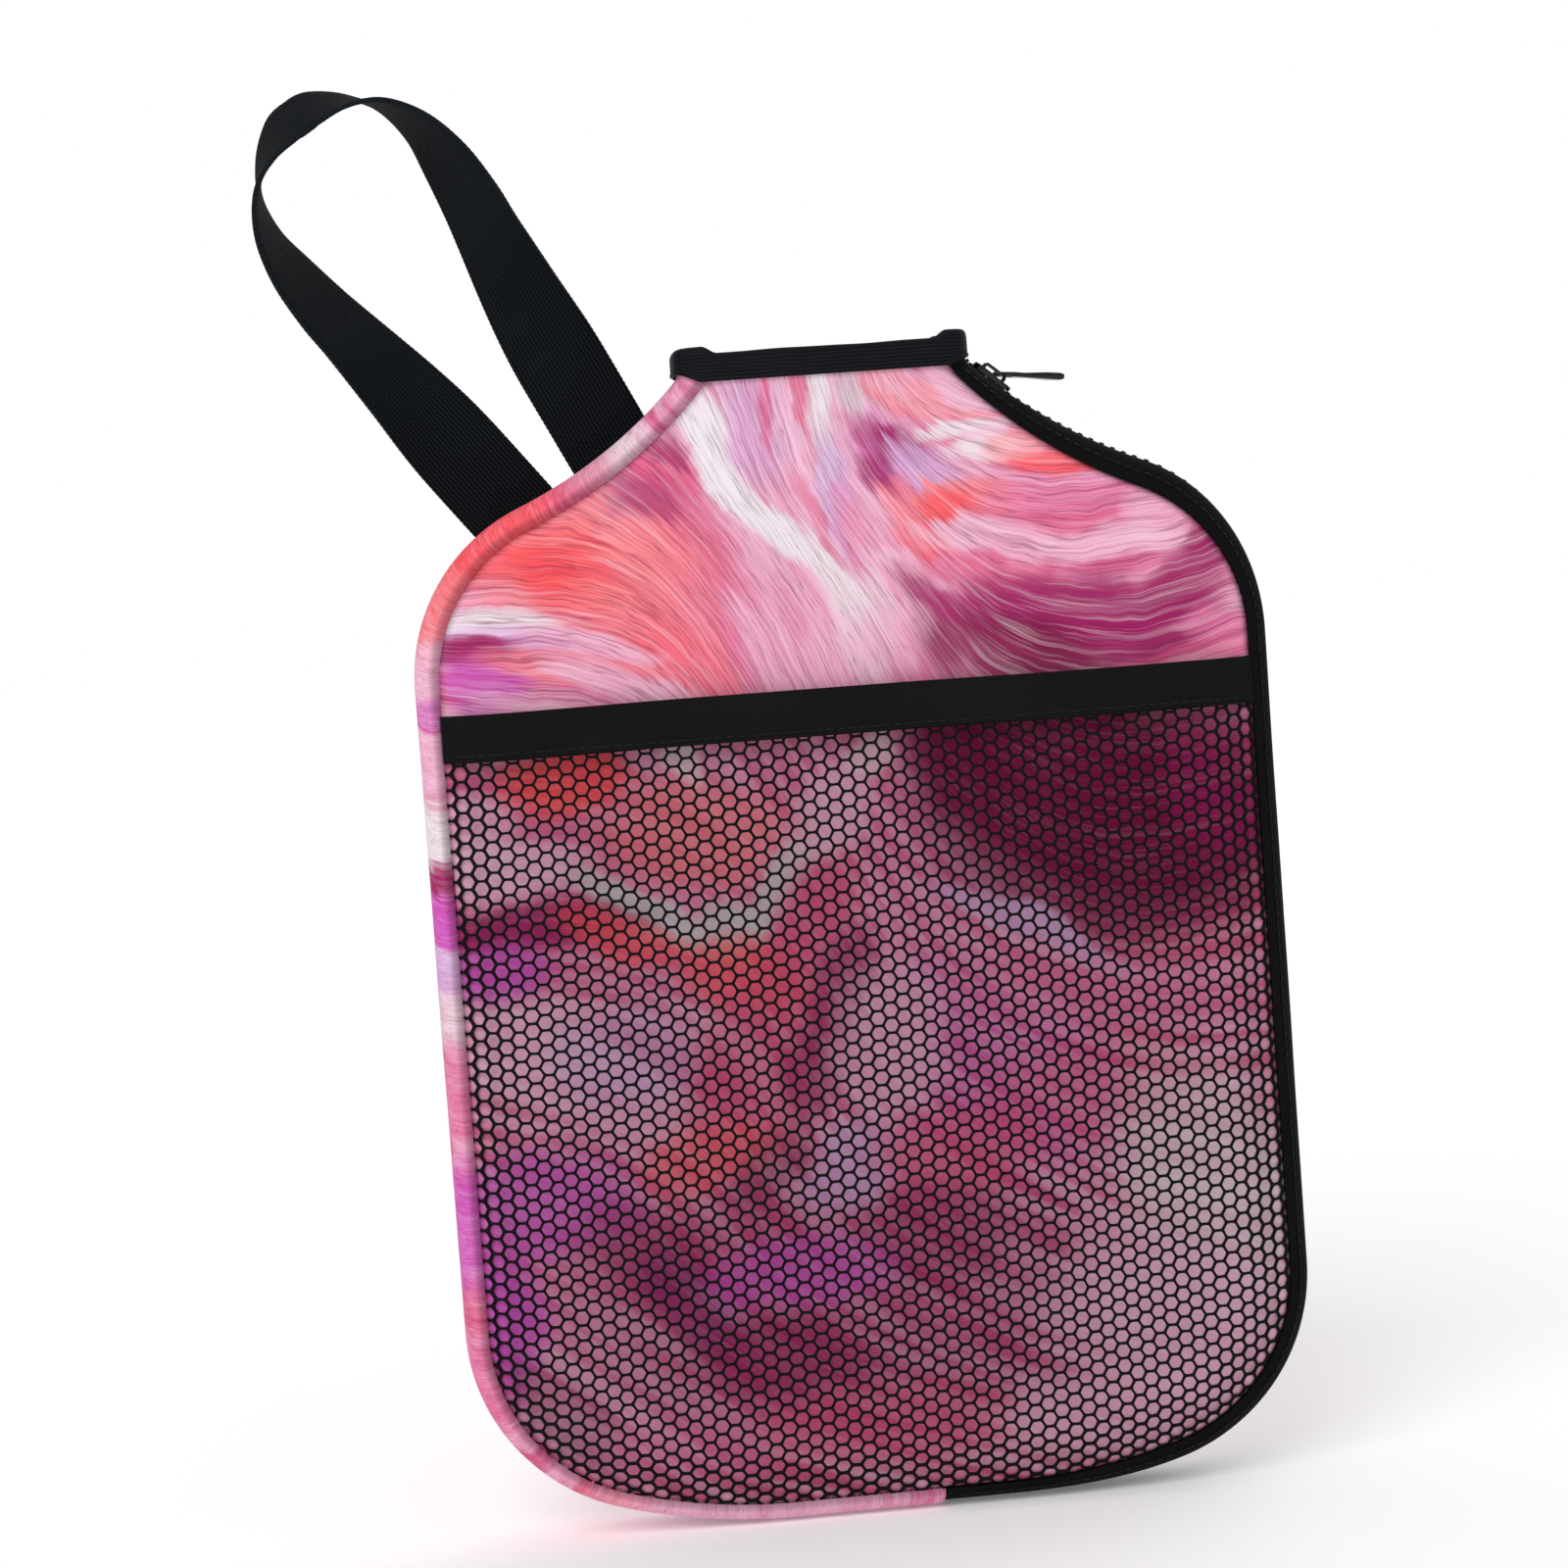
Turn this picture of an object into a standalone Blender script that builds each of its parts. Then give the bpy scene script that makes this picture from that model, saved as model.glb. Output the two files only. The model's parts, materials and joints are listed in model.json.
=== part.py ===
"""Zipped neoprene case for a court paddle, standing on its gusset with the neck up.

X runs across the case, Y from its front (-Y) to its back, and Z up. The origin lies on the
resting face, under the middle of the case. Two foam panels are joined by a foam gusset down
the left side and by a zipper down the right side, and both end under the case's middle.
Every piece along an edge is lofted through sections on one seam line, so it follows a change
of the outline.
"""
import math

import bmesh
import bpy
from mathutils import Matrix, Vector

MM = 0.001
GAP = 0.3 * MM                      # clearance between pieces that touch or are sewn together

# Outline of the two panels
PANEL_HALF_WIDTH = 110.0 * MM
PANEL_TOP = 315.0 * MM
PANEL_BOTTOM = 5.0 * MM
NECK_HALF_WIDTH = 33.0 * MM
NECK_STRAIGHT = 2.3 * MM
NECK_RADIUS = 10.0 * MM
HOLLOW_RADIUS = 140.0 * MM          # hollow slope between neck and shoulder
SHOULDER_RADIUS = 45.0 * MM
SHOULDER_DROP = 80.8 * MM           # from the neck's round down to the shoulder's centre
CORNER_RADIUS = 48.0 * MM
BOTTOM_RADIUS = 157.0 * MM
BOTTOM_HALF_FLAT = 30.0 * MM
ARC_STEP = math.radians(7.0)        # finest turn between two sections
LONG_STEP = 14.0 * MM               # longest stride between two sections on a round stretch

# Depth and foam
INSIDE_DEPTH = 20.0 * MM
FOAM = 4.0 * MM                     # panel laminate
GUSSET_FOAM = 3.5 * MM
GUSSET_LIFT = 6.0 * MM              # how far the gusset stands out past the seam line
GUSSET_FLAT = 16.0 * MM             # flat middle of the gusset, which the case stands on
GUSSET_TAB = 10.5 * MM              # how far the gusset's end passes the middle of the bottom
TAB_ROUND = 1.6 * MM

# Zipper
TAPE = 1.0 * MM
TAPE_FLAT = 6.6 * MM                # half width of the level part of the closed tapes
CHAIN_HALF_WIDTH = 2.7 * MM
CHAIN_HALF_HEIGHT = 1.2 * MM
TOOTH_REACH = 0.9 * MM              # how far a tooth passes the middle of the closed chain
TOOTH_PITCH = 3.4 * MM
TOOTH_LENGTH = 1.35 * MM
CHAIN_RADIUS = 150.0 * MM           # round of the chain along the hollow
CHAIN_LIFT_AT_NECK = 4.5 * MM
CHAIN_LIFT_AT_SHOULDER = 6.8 * MM
CHAIN_LIFT_ON_SIDE = 5.1 * MM
CHAIN_LIFT_AT_BOTTOM = 3.6 * MM
STOP_LENGTH = 2.2 * MM
STOP_HALF_HEIGHT = 1.5 * MM

# Slider and pull
SLIDER_LENGTH = 12.0 * MM
SLIDER_FROM_HOLLOW = 7.9 * MM       # closed slider's middle, below the start of the hollow
SLIDER_WALL = 0.85 * MM
SLIDER_PLATE = 1.0 * MM
POST_HALF_WIDTH = 0.6 * MM
LIP = 0.55 * MM                     # depth of the flanges that leave a slot for the tapes
BRIDGE_SPAN = 7.4 * MM
BRIDGE_HEIGHT = 2.3 * MM
BRIDGE_BAR = 0.7 * MM
BRIDGE_FOOT = 1.0 * MM
BRIDGE_HALF_WIDTH = 1.1 * MM
PULL_LENGTH = 19.1 * MM
PULL_EDGE = 0.6 * MM                # how far the pull's ends are rounded off
PULL_HALF_WIDTH = 3.0 * MM
PULL_WAIST = 2.1 * MM
PULL_PIN_RADIUS = 0.5 * MM
PULL_THICK = 1.3 * MM
PULL_END_THICK = 1.9 * MM
PULL_EYE = 4.6 * MM
PULL_GRIP = 5.0 * MM                # thick end that the fingers hold
PULL_LEAN = math.radians(-6.0)      # the pull sticks out, this far off the level
PULL_SIDE = 0.3 * MM                # pin, off the middle of the bridge

# Binding round the neck's mouth
BINDING = 1.0 * MM
BINDING_DROP = 6.4 * MM             # covered below the panel's top edge
CORNER_BUMP = 2.0 * MM
BINDING_MOUTH = 4.45 * MM           # the binding ends this far each side of the chain
BINDING_EDGE = 0.5 * MM             # how far the fold is rounded off
BUMP_FADE = 4.0 * MM                # the corner's bump dies away over this run

# Binding on the raw seams inside
FIN_HEIGHT = 5.0 * MM
FIN_THICK = 2.0 * MM
FIN_BELOW_BINDING = 1.6 * MM

# Mesh pocket
POCKET_TOP = 225.0 * MM
ELASTIC_HEIGHT = 12.7 * MM
ELASTIC = 1.6 * MM
NET = 0.8 * MM
POCKET_DEPTH = 5.4 * MM
POCKET_SLOPE = 15.0 * MM

# Carrying loop
WEBBING_WIDTH = 25.0 * MM
WEBBING = 1.6 * MM
STRAP_CLEARANCE = 0.4 * MM          # between the webbing and the back panel
STRAP_FROM_HOLLOW = 41.45 * MM      # foot, below the start of the left hollow
STRAP_PAST_SEAM = 7.95 * MM         # foot, out past the seam line
STRAP_LEAN = math.radians(2.56)     # the loop's own upward line, from the seam's outward step
STRAP_ROOT = -6.5 * MM              # the sewn line, along the loop's upward line
# One half of the loop, read along its upward line: height, distance to the side, twist
STRAP_ROUTE = (
    (-6.5, 15.4, 0.0), (7.0, 16.8, 0.0), (21.0, 18.2, 4.0), (42.0, 20.3, 28.0),
    (62.0, 23.0, 45.0), (74.0, 24.8, 52.0), (87.0, 25.7, 61.0), (99.0, 24.8, 75.0),
    (109.5, 20.4, 90.0), (116.0, 13.0, 105.0), (119.5, 5.0, 118.0),
)
STRAP_TOP = (120.0, 0.0, 120.0)
STRAP_STEPS = 3

HALF_DEPTH = INSIDE_DEPTH / 2
PANEL_FACE = HALF_DEPTH + FOAM
SEAM_OUT = PANEL_FACE - GAP         # outer edge of gusset and tapes where they meet a panel


def smooth(value):
    """Ease from 0 to 1, held outside that range."""
    held = min(max(value, 0.0), 1.0)
    return held * held * (3.0 - 2.0 * held)


def blend(low, high, share):
    return low + (high - low) * share


# ---------------------------------------------------------------- the seam line

class Straight:
    """A straight stretch of an outline in the XZ plane."""

    def __init__(self, start, end):
        self.start, self.step = start, (end - start).normalized()
        self.length = (end - start).length
        self.marks = [0.0, self.length]

    def point(self, along):
        return self.start + self.step * along

    def heading(self, along):
        return self.step


class Round:
    """A round stretch, from one angle to another about a centre."""

    def __init__(self, centre, radius, first, last):
        self.centre, self.radius, self.first = centre, radius, first
        self.turn = 1.0 if last > first else -1.0
        self.length = abs(last - first) * radius
        count = max(2, math.ceil(self.length / min(LONG_STEP, radius * ARC_STEP)))
        self.marks = [self.length * index / count for index in range(count + 1)]

    def angle(self, along):
        return self.first + self.turn * along / self.radius

    def point(self, along):
        angle = self.angle(along)
        return self.centre + self.radius * Vector((math.cos(angle), math.sin(angle)))

    def heading(self, along):
        angle = self.angle(along)
        return self.turn * Vector((-math.sin(angle), math.cos(angle)))


def meet(first, first_radius, second, second_radius):
    """The point at both distances from two centres, on the right of the line between them."""
    line = second - first
    gap = line.length
    along = (first_radius ** 2 - second_radius ** 2 + gap ** 2) / (2 * gap)
    across = math.sqrt(first_radius ** 2 - along ** 2)
    step = line / gap
    return first + step * along + Vector((-step.y, step.x)) * across


def angle_of(step):
    """Direction of a vector in the XZ plane, from 0 to a full turn."""
    return math.atan2(step.y, step.x) % math.tau


class SeamLine:
    """Right-hand edge of the panels, from the neck's top down to the middle of the bottom."""

    def __init__(self):
        neck = Vector((NECK_HALF_WIDTH + NECK_RADIUS, PANEL_TOP - NECK_STRAIGHT))
        shoulder = Vector((PANEL_HALF_WIDTH - SHOULDER_RADIUS, neck.y - SHOULDER_DROP))
        self.hollow = meet(neck, HOLLOW_RADIUS - NECK_RADIUS,
                           shoulder, HOLLOW_RADIUS + SHOULDER_RADIUS)
        into_hollow = angle_of(neck - self.hollow)
        out_of_hollow = angle_of(shoulder - self.hollow)
        bottom = Vector((BOTTOM_HALF_FLAT, PANEL_BOTTOM + BOTTOM_RADIUS))
        corner_x = PANEL_HALF_WIDTH - CORNER_RADIUS
        reach = BOTTOM_RADIUS - CORNER_RADIUS
        corner = Vector((corner_x, bottom.y - math.sqrt(reach ** 2 - (corner_x - bottom.x) ** 2)))
        into_bottom = angle_of(corner - bottom) - math.tau
        side_top = Vector((PANEL_HALF_WIDTH, shoulder.y))
        side_end = Vector((PANEL_HALF_WIDTH, corner.y))
        self.runs = [
            Straight(Vector((NECK_HALF_WIDTH, PANEL_TOP)), Vector((NECK_HALF_WIDTH, neck.y))),
            Round(neck, NECK_RADIUS, math.pi, into_hollow),
            Round(self.hollow, HOLLOW_RADIUS, into_hollow, out_of_hollow),
            Round(shoulder, SHOULDER_RADIUS, out_of_hollow - math.pi, 0.0),
            Straight(side_top, side_end),
            Round(corner, CORNER_RADIUS, 0.0, into_bottom),
            Round(bottom, BOTTOM_RADIUS, into_bottom, -math.pi / 2),
            Straight(Vector((BOTTOM_HALF_FLAT, PANEL_BOTTOM)), Vector((0.0, PANEL_BOTTOM))),
        ]
        self.starts = [0.0]
        for run in self.runs:
            self.starts.append(self.starts[-1] + run.length)
        self.length = self.starts[-1]
        self.hollow_start, self.hollow_end = self.starts[2], self.starts[3]
        self.side_start, self.corner_start = self.starts[4], self.starts[5]
        self.bottom_start, self.flat_start = self.starts[6], self.starts[7]
        self.side_top = side_top.y

    def find(self, along):
        """Point and outward step at a distance along the line, which runs on past its ends."""
        index = 0
        while index < len(self.runs) - 1 and along > self.starts[index + 1]:
            index += 1
        run = self.runs[index]
        step = run.heading(along - self.starts[index])
        return run.point(along - self.starts[index]), Vector((-step.y, step.x))

    def spot(self, along, lift, y, side=1):
        """A place at a lift outwards from the seam line, on the right (1) or left (-1)."""
        point, out = self.find(along)
        return Vector((side * (point.x + lift * out.x), y, point.y + lift * out.y))

    def marks(self, first, last, extra=()):
        """Distances at which sections stand, between two distances along the line."""
        found = {round(self.starts[index] + mark, 6)
                 for index, run in enumerate(self.runs) for mark in run.marks}
        inner = [mark for mark in sorted(found | set(extra))
                 if first + MM < mark < last - MM]
        return [first] + inner + [last]


SEAM = SeamLine()


# ---------------------------------------------------------------- the zipper's own line

def hollow_spot(along, lift):
    point, out = SEAM.find(along)
    return point + out * lift


def chain_centre():
    """Centre of the round that the chain, and the slider on it, follow along the hollow."""
    first = hollow_spot(SEAM.hollow_start, CHAIN_LIFT_AT_NECK)
    last = hollow_spot(SEAM.hollow_end, CHAIN_LIFT_AT_SHOULDER)
    return meet(first, CHAIN_RADIUS, last, CHAIN_RADIUS)


CHAIN_CENTRE = chain_centre()
SLIDER_AT = SEAM.hollow_start + SLIDER_FROM_HOLLOW


def chain_lift(along):
    """How far the chain stands out past the seam line."""
    if along <= SEAM.hollow_start:
        return CHAIN_LIFT_AT_NECK
    if along < SEAM.hollow_end:
        point, out = SEAM.find(along)
        offset = point - CHAIN_CENTRE
        half = offset.dot(out)
        return -half - math.sqrt(half ** 2 - offset.length_squared + CHAIN_RADIUS ** 2)
    side = smooth((along - SEAM.hollow_end) / (SEAM.side_start - SEAM.hollow_end))
    low = smooth((along - SEAM.bottom_start) / (SEAM.flat_start - SEAM.bottom_start))
    lift = blend(CHAIN_LIFT_AT_SHOULDER, CHAIN_LIFT_ON_SIDE, side)
    return blend(lift, CHAIN_LIFT_AT_BOTTOM, low)


OPEN_SPREAD = TOOTH_REACH + GAP + POST_HALF_WIDTH
SPREAD_OPEN = SLIDER_AT - 0.15 * SLIDER_LENGTH
SPREAD_SHUT = SLIDER_AT + 0.25 * SLIDER_LENGTH


def spread(along):
    """How far each row of teeth stands off its closed place: open above the slider."""
    return OPEN_SPREAD * (1.0 - smooth((along - SPREAD_OPEN) / (SPREAD_SHUT - SPREAD_OPEN)))


def gusset_lift(along):
    """The gusset stands out less along the bottom, which brings its face down to the floor."""
    low = smooth((along - SEAM.corner_start) / (SEAM.bottom_start - SEAM.corner_start))
    return blend(GUSSET_LIFT, PANEL_BOTTOM, low)


# ---------------------------------------------------------------- making meshes

def add_object(name, bm, material, origin=Vector()):
    """Turn a bmesh, whose points are in world places, into an object with its own origin."""
    bmesh.ops.recalc_face_normals(bm, faces=bm.faces)
    bmesh.ops.translate(bm, verts=bm.verts, vec=-origin)
    mesh = bpy.data.meshes.new(name)
    bm.to_mesh(mesh)
    bm.free()
    mesh.shade_smooth()
    mesh.set_sharp_from_angle(angle=math.radians(35))
    mesh.materials.append(material)
    shape = bpy.data.objects.new(name, mesh)
    shape.location = origin
    bpy.context.collection.objects.link(shape)
    return shape


def loft(sections):
    """A closed solid through equal rings of points, capped at both ends."""
    bm = bmesh.new()
    rings = [[bm.verts.new(point) for point in section] for section in sections]
    for first, second in zip(rings, rings[1:]):
        for index, vertex in enumerate(first):
            following = (index + 1) % len(first)
            bm.faces.new((vertex, first[following], second[following], second[index]))
    bm.faces.new(rings[0])
    bm.faces.new(reversed(rings[-1]))
    return bm


def prism(outline, depth):
    """A flat outline, a list of vectors, drawn out along a vector."""
    return loft([outline, [point + depth for point in outline]])


def union(base, others):
    """Melt pieces into one solid."""
    for other in others:
        step = base.modifiers.new(other.name, "BOOLEAN")
        step.operation = "UNION"
        step.solver = "EXACT"
        step.object = other
        other.hide_render = True
        other.display_type = "WIRE"


def material(name, colour, roughness, metallic=0.0):
    made = bpy.data.materials.new(name)
    made.use_nodes = True
    shader = made.node_tree.nodes["Principled BSDF"]
    shader.inputs["Base Color"].default_value = (*colour, 1.0)
    shader.inputs["Roughness"].default_value = roughness
    shader.inputs["Metallic"].default_value = metallic
    return made


# ---------------------------------------------------------------- panels and gusset

def make_panel(name, side, finish):
    """One face of the case, cut from foam laminate."""
    marks = SEAM.marks(0.0, SEAM.length)
    inner = side * HALF_DEPTH
    right = [SEAM.spot(mark, 0.0, inner) for mark in marks[:-1]]
    left = [SEAM.spot(mark, 0.0, inner, side=-1) for mark in marks[:-1]]
    return add_object(name, prism(right + left[::-1], Vector((0.0, side * FOAM, 0.0))), finish)


def gusset_section(along, lift):
    """A C of foam that bows out between the two panels."""
    flat = GUSSET_FLAT / 2
    quarter = [math.radians(step) for step in (90, 60, 30, 0)]
    outer = [(GAP + (lift - GAP) * math.cos(turn), flat + (SEAM_OUT - flat) * math.sin(turn))
             for turn in quarter]
    inner = [(GAP + (lift - GUSSET_FOAM - GAP) * math.cos(turn),
              flat + (SEAM_OUT - GUSSET_FOAM - flat) * math.sin(turn)) for turn in quarter]
    half = outer + [(n, -y) for n, y in reversed(outer)]
    back = inner + [(n, -y) for n, y in reversed(inner)]
    return [SEAM.spot(along, n, y, side=-1) for n, y in half + back[::-1]]


def make_gusset(finish):
    """Left side of the case, from the neck to just past the middle of the bottom."""
    tab_end = SEAM.length + GUSSET_TAB
    tab = [(tab_end - TAB_ROUND * share, TAB_ROUND * drop)
           for share, drop in ((1.0, 0.0), (0.4, 0.2), (0.0, 0.9))]
    sections = [gusset_section(mark, gusset_lift(mark))
                for mark in SEAM.marks(GAP, tab[0][0] - MM)]
    sections += [gusset_section(mark, gusset_lift(mark) - drop) for mark, drop in tab]
    return add_object("side_gusset", loft(sections), finish)


def make_fin(name, side, finish):
    """Tape bound over the raw edges of a seam, which stand inwards all round the case."""
    top = BINDING_DROP + FIN_BELOW_BINDING
    outer_y = HALF_DEPTH - GAP
    inner_y = outer_y - FIN_THICK
    corners = ((-GAP, outer_y), (-FIN_HEIGHT, outer_y),
               (-FIN_HEIGHT, inner_y), (-GAP, inner_y))
    marks = SEAM.marks(top, SEAM.length)
    right = [[SEAM.spot(mark, n, side * y) for n, y in corners] for mark in marks[:-1]]
    left = [[SEAM.spot(mark, n, side * y, side=-1) for n, y in corners] for mark in marks[:-1]]
    return add_object(name, loft(right + left[::-1]), finish)


# ---------------------------------------------------------------- zipper

def tape_section(along, side):
    """Level beside the teeth, then rounded down to the panel's edge."""
    lift, inner = chain_lift(along), CHAIN_HALF_WIDTH + GAP + spread(along)
    half = TAPE / 2
    quarter = [math.radians(step) for step in (0, 30, 60, 90)]
    upper = [(lift + half, inner)]
    upper += [(GAP + (lift + half - GAP) * math.cos(turn),
               TAPE_FLAT + (SEAM_OUT - TAPE_FLAT) * math.sin(turn)) for turn in quarter]
    lower = [(lift - half, inner)]
    lower += [(GAP + (lift - half - GAP) * math.cos(turn),
               TAPE_FLAT + (SEAM_OUT - TAPE - TAPE_FLAT) * math.sin(turn)) for turn in quarter]
    return [SEAM.spot(along, n, side * y) for n, y in upper + lower[::-1]]


TAPE_END = SEAM.length - GUSSET_TAB - GAP
STOPS_AT = BINDING_DROP + BINDING
TEETH_START = STOPS_AT + STOP_LENGTH + GAP
TEETH_END = TAPE_END - STOP_LENGTH - 3 * GAP


def make_tape(name, side, finish):
    """Woven tape that carries one row of teeth."""
    close = [SPREAD_OPEN + (SPREAD_SHUT - SPREAD_OPEN) * share for share in (0, 0.25, 0.5, 0.75, 1)]
    marks = SEAM.marks(GAP, TAPE_END, extra=[SPREAD_OPEN - 2 * MM] + close)
    return add_object(name, loft([tape_section(mark, side) for mark in marks]), finish)


def make_teeth(name, side, finish):
    """A row of moulded teeth on its bead, in step with the row that it meshes with."""
    shift = TOOTH_PITCH * (0.25 if side < 0 else 0.75)
    count = int((TEETH_END - TEETH_START - TOOTH_PITCH) / TOOTH_PITCH)
    edges = [TEETH_START]
    for index in range(count):
        middle = TEETH_START + shift + index * TOOTH_PITCH
        edges += [middle - TOOTH_LENGTH / 2, middle + TOOTH_LENGTH / 2]
    edges.append(TEETH_END)
    bm = bmesh.new()

    def column(along, reach):
        """The two points, low and high, at one distance from the middle of the chain."""
        lift = chain_lift(along)
        y = side * (reach + spread(along))
        return [bm.verts.new(SEAM.spot(along, lift + height, y))
                for height in (-CHAIN_HALF_HEIGHT, CHAIN_HALF_HEIGHT)]

    outer = [column(edge, CHAIN_HALF_WIDTH) for edge in edges]
    inner = [column(edge, TOOTH_REACH + GAP) for edge in edges]
    tips = [None] + [column(edge, -TOOTH_REACH) for edge in edges[1:-1]] + [None]
    for index in range(len(edges) - 1):
        low, high = index, index + 1
        for level in (0, 1):
            bm.faces.new((outer[low][level], outer[high][level],
                          inner[high][level], inner[low][level]))
        bm.faces.new((outer[low][0], outer[high][0], outer[high][1], outer[low][1]))
        if index % 2 == 0:
            bm.faces.new((inner[low][0], inner[high][0], inner[high][1], inner[low][1]))
            continue
        for level in (0, 1):
            bm.faces.new((inner[low][level], inner[high][level],
                          tips[high][level], tips[low][level]))
        bm.faces.new((tips[low][0], tips[high][0], tips[high][1], tips[low][1]))
        for edge in (low, high):
            bm.faces.new((inner[edge][0], tips[edge][0], tips[edge][1], inner[edge][1]))
    for end in (0, -1):
        bm.faces.new((outer[end][0], inner[end][0], inner[end][1], outer[end][1]))
    return add_object(name, bm, finish)


def make_stop(name, start, inner, outer, finish):
    """A block clamped on the tapes' edges, which ends the slider's way."""
    sections = []
    for along in (start, start + STOP_LENGTH):
        lift = chain_lift(along)
        sections.append([SEAM.spot(along, lift + height, y)
                         for height, y in ((-STOP_HALF_HEIGHT, inner), (-STOP_HALF_HEIGHT, outer),
                                           (STOP_HALF_HEIGHT, outer), (STOP_HALF_HEIGHT, inner))])
    return add_object(name, loft(sections), finish)


# ---------------------------------------------------------------- slider and pull

def slider_frame():
    """The slider's own frame: X along the chain towards the shoulder, Z out of the case."""
    middle = hollow_spot(SLIDER_AT, chain_lift(SLIDER_AT))
    out = (CHAIN_CENTRE - middle).normalized()
    frame = Matrix.Identity(4)
    frame.col[0] = (out.y, 0.0, -out.x, 0.0)
    frame.col[1] = (0.0, 1.0, 0.0, 0.0)
    frame.col[2] = (out.x, 0.0, out.y, 0.0)
    frame.col[3] = (middle.x, 0.0, middle.y, 1.0)
    return frame


def wedge_outline(inset, height):
    """Half of the slider's plan, wide at the end where the two rows part."""
    half = SLIDER_LENGTH / 2
    slim = CHAIN_HALF_WIDTH + 2 * GAP + SLIDER_WALL - inset
    wide = slim + OPEN_SPREAD
    corner = 1.2 * MM
    plan = ((-half, 0.0), (-half, wide - corner), (-half + corner, wide),
            (-0.15 * SLIDER_LENGTH, wide), (0.25 * SLIDER_LENGTH, slim),
            (half - corner, slim), (half, slim - corner), (half, 0.0))
    return [Vector((x, y, height)) for x, y in plan]


def slider_plate(bottom):
    half = wedge_outline(0.0, bottom)
    other = [Vector((point.x, -point.y, point.z)) for point in half[1:-1]]
    return prism(half + other[::-1], Vector((0.0, 0.0, SLIDER_PLATE)))


def slider_flange(side, bottom, top):
    """One of the four lips that turn in over a tape from a plate's long edge."""
    outer = wedge_outline(0.0, bottom)[2:6]
    inner = wedge_outline(SLIDER_WALL, bottom)[2:6]
    outline = [Vector((point.x, side * point.y, point.z)) for point in outer + inner[::-1]]
    return prism(outline, Vector((0.0, 0.0, top - bottom)))


def slider_bridge():
    """The loop on the upper plate that the pull hangs in."""
    foot = PLATE_OUT - 0.5 * SLIDER_PLATE
    top = PLATE_OUT + BRIDGE_HEIGHT
    round_off = 0.8 * MM
    outer = ((-1, foot), (-1, top - round_off), (-1, top),
             (1, top), (1, top - round_off), (1, foot))
    trim = (0.0, 0.0, round_off, round_off, 0.0, 0.0)
    half = BRIDGE_SPAN / 2
    outline = [(sign * (half - cut), z) for (sign, z), cut in zip(outer, trim)]
    inner = half - BRIDGE_FOOT
    window = [(inner, foot), (inner, top - BRIDGE_BAR), (-inner, top - BRIDGE_BAR), (-inner, foot)]
    points = [Vector((x, -BRIDGE_HALF_WIDTH, z)) for x, z in outline + window]
    return prism(points, Vector((0.0, 2 * BRIDGE_HALF_WIDTH, 0.0)))


PLATE_IN = CHAIN_HALF_HEIGHT + GAP
PLATE_OUT = PLATE_IN + SLIDER_PLATE


def make_slider(finish):
    """Cast slider: two plates joined by a post, with lips round the tapes and a bridge."""
    half = SLIDER_LENGTH / 2
    sink = SLIDER_PLATE / 2
    post = [(-half, -1), (-0.25 * SLIDER_LENGTH, -1), (-0.13 * SLIDER_LENGTH, 0),
            (-0.25 * SLIDER_LENGTH, 1), (-half, 1)]
    outline = [Vector((x, side * POST_HALF_WIDTH, -PLATE_IN - sink)) for x, side in post]
    shapes = [slider_plate(PLATE_IN), slider_plate(-PLATE_OUT),
              prism(outline, Vector((0.0, 0.0, 2 * (PLATE_IN + sink)))), slider_bridge()]
    for side in (-1, 1):
        shapes.append(slider_flange(side, PLATE_IN - LIP, PLATE_IN + sink))
        shapes.append(slider_flange(side, -PLATE_IN - sink, -PLATE_IN + LIP))
    frame = slider_frame()
    pivot = bpy.data.objects.new("slider_path", None)
    pivot.location = (CHAIN_CENTRE.x, 0.0, CHAIN_CENTRE.y)
    bpy.context.collection.objects.link(pivot)
    made = []
    for index, shape in enumerate(shapes):
        name = "zipper_slider" if index == 0 else f"slider_form_{index}"
        body = add_object(name, shape, finish)
        body.parent = pivot
        body.rotation_euler = frame.to_euler()
        body.location = frame.to_translation() - pivot.location
        made.append(body)
    union(made[0], made[1:])
    return made[0]


def pull_section(along, half_width, thick):
    return [Vector((along, side * half_width, level * thick / 2))
            for side, level in ((-1, -1), (1, -1), (1, 1), (-1, 1))]


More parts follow.
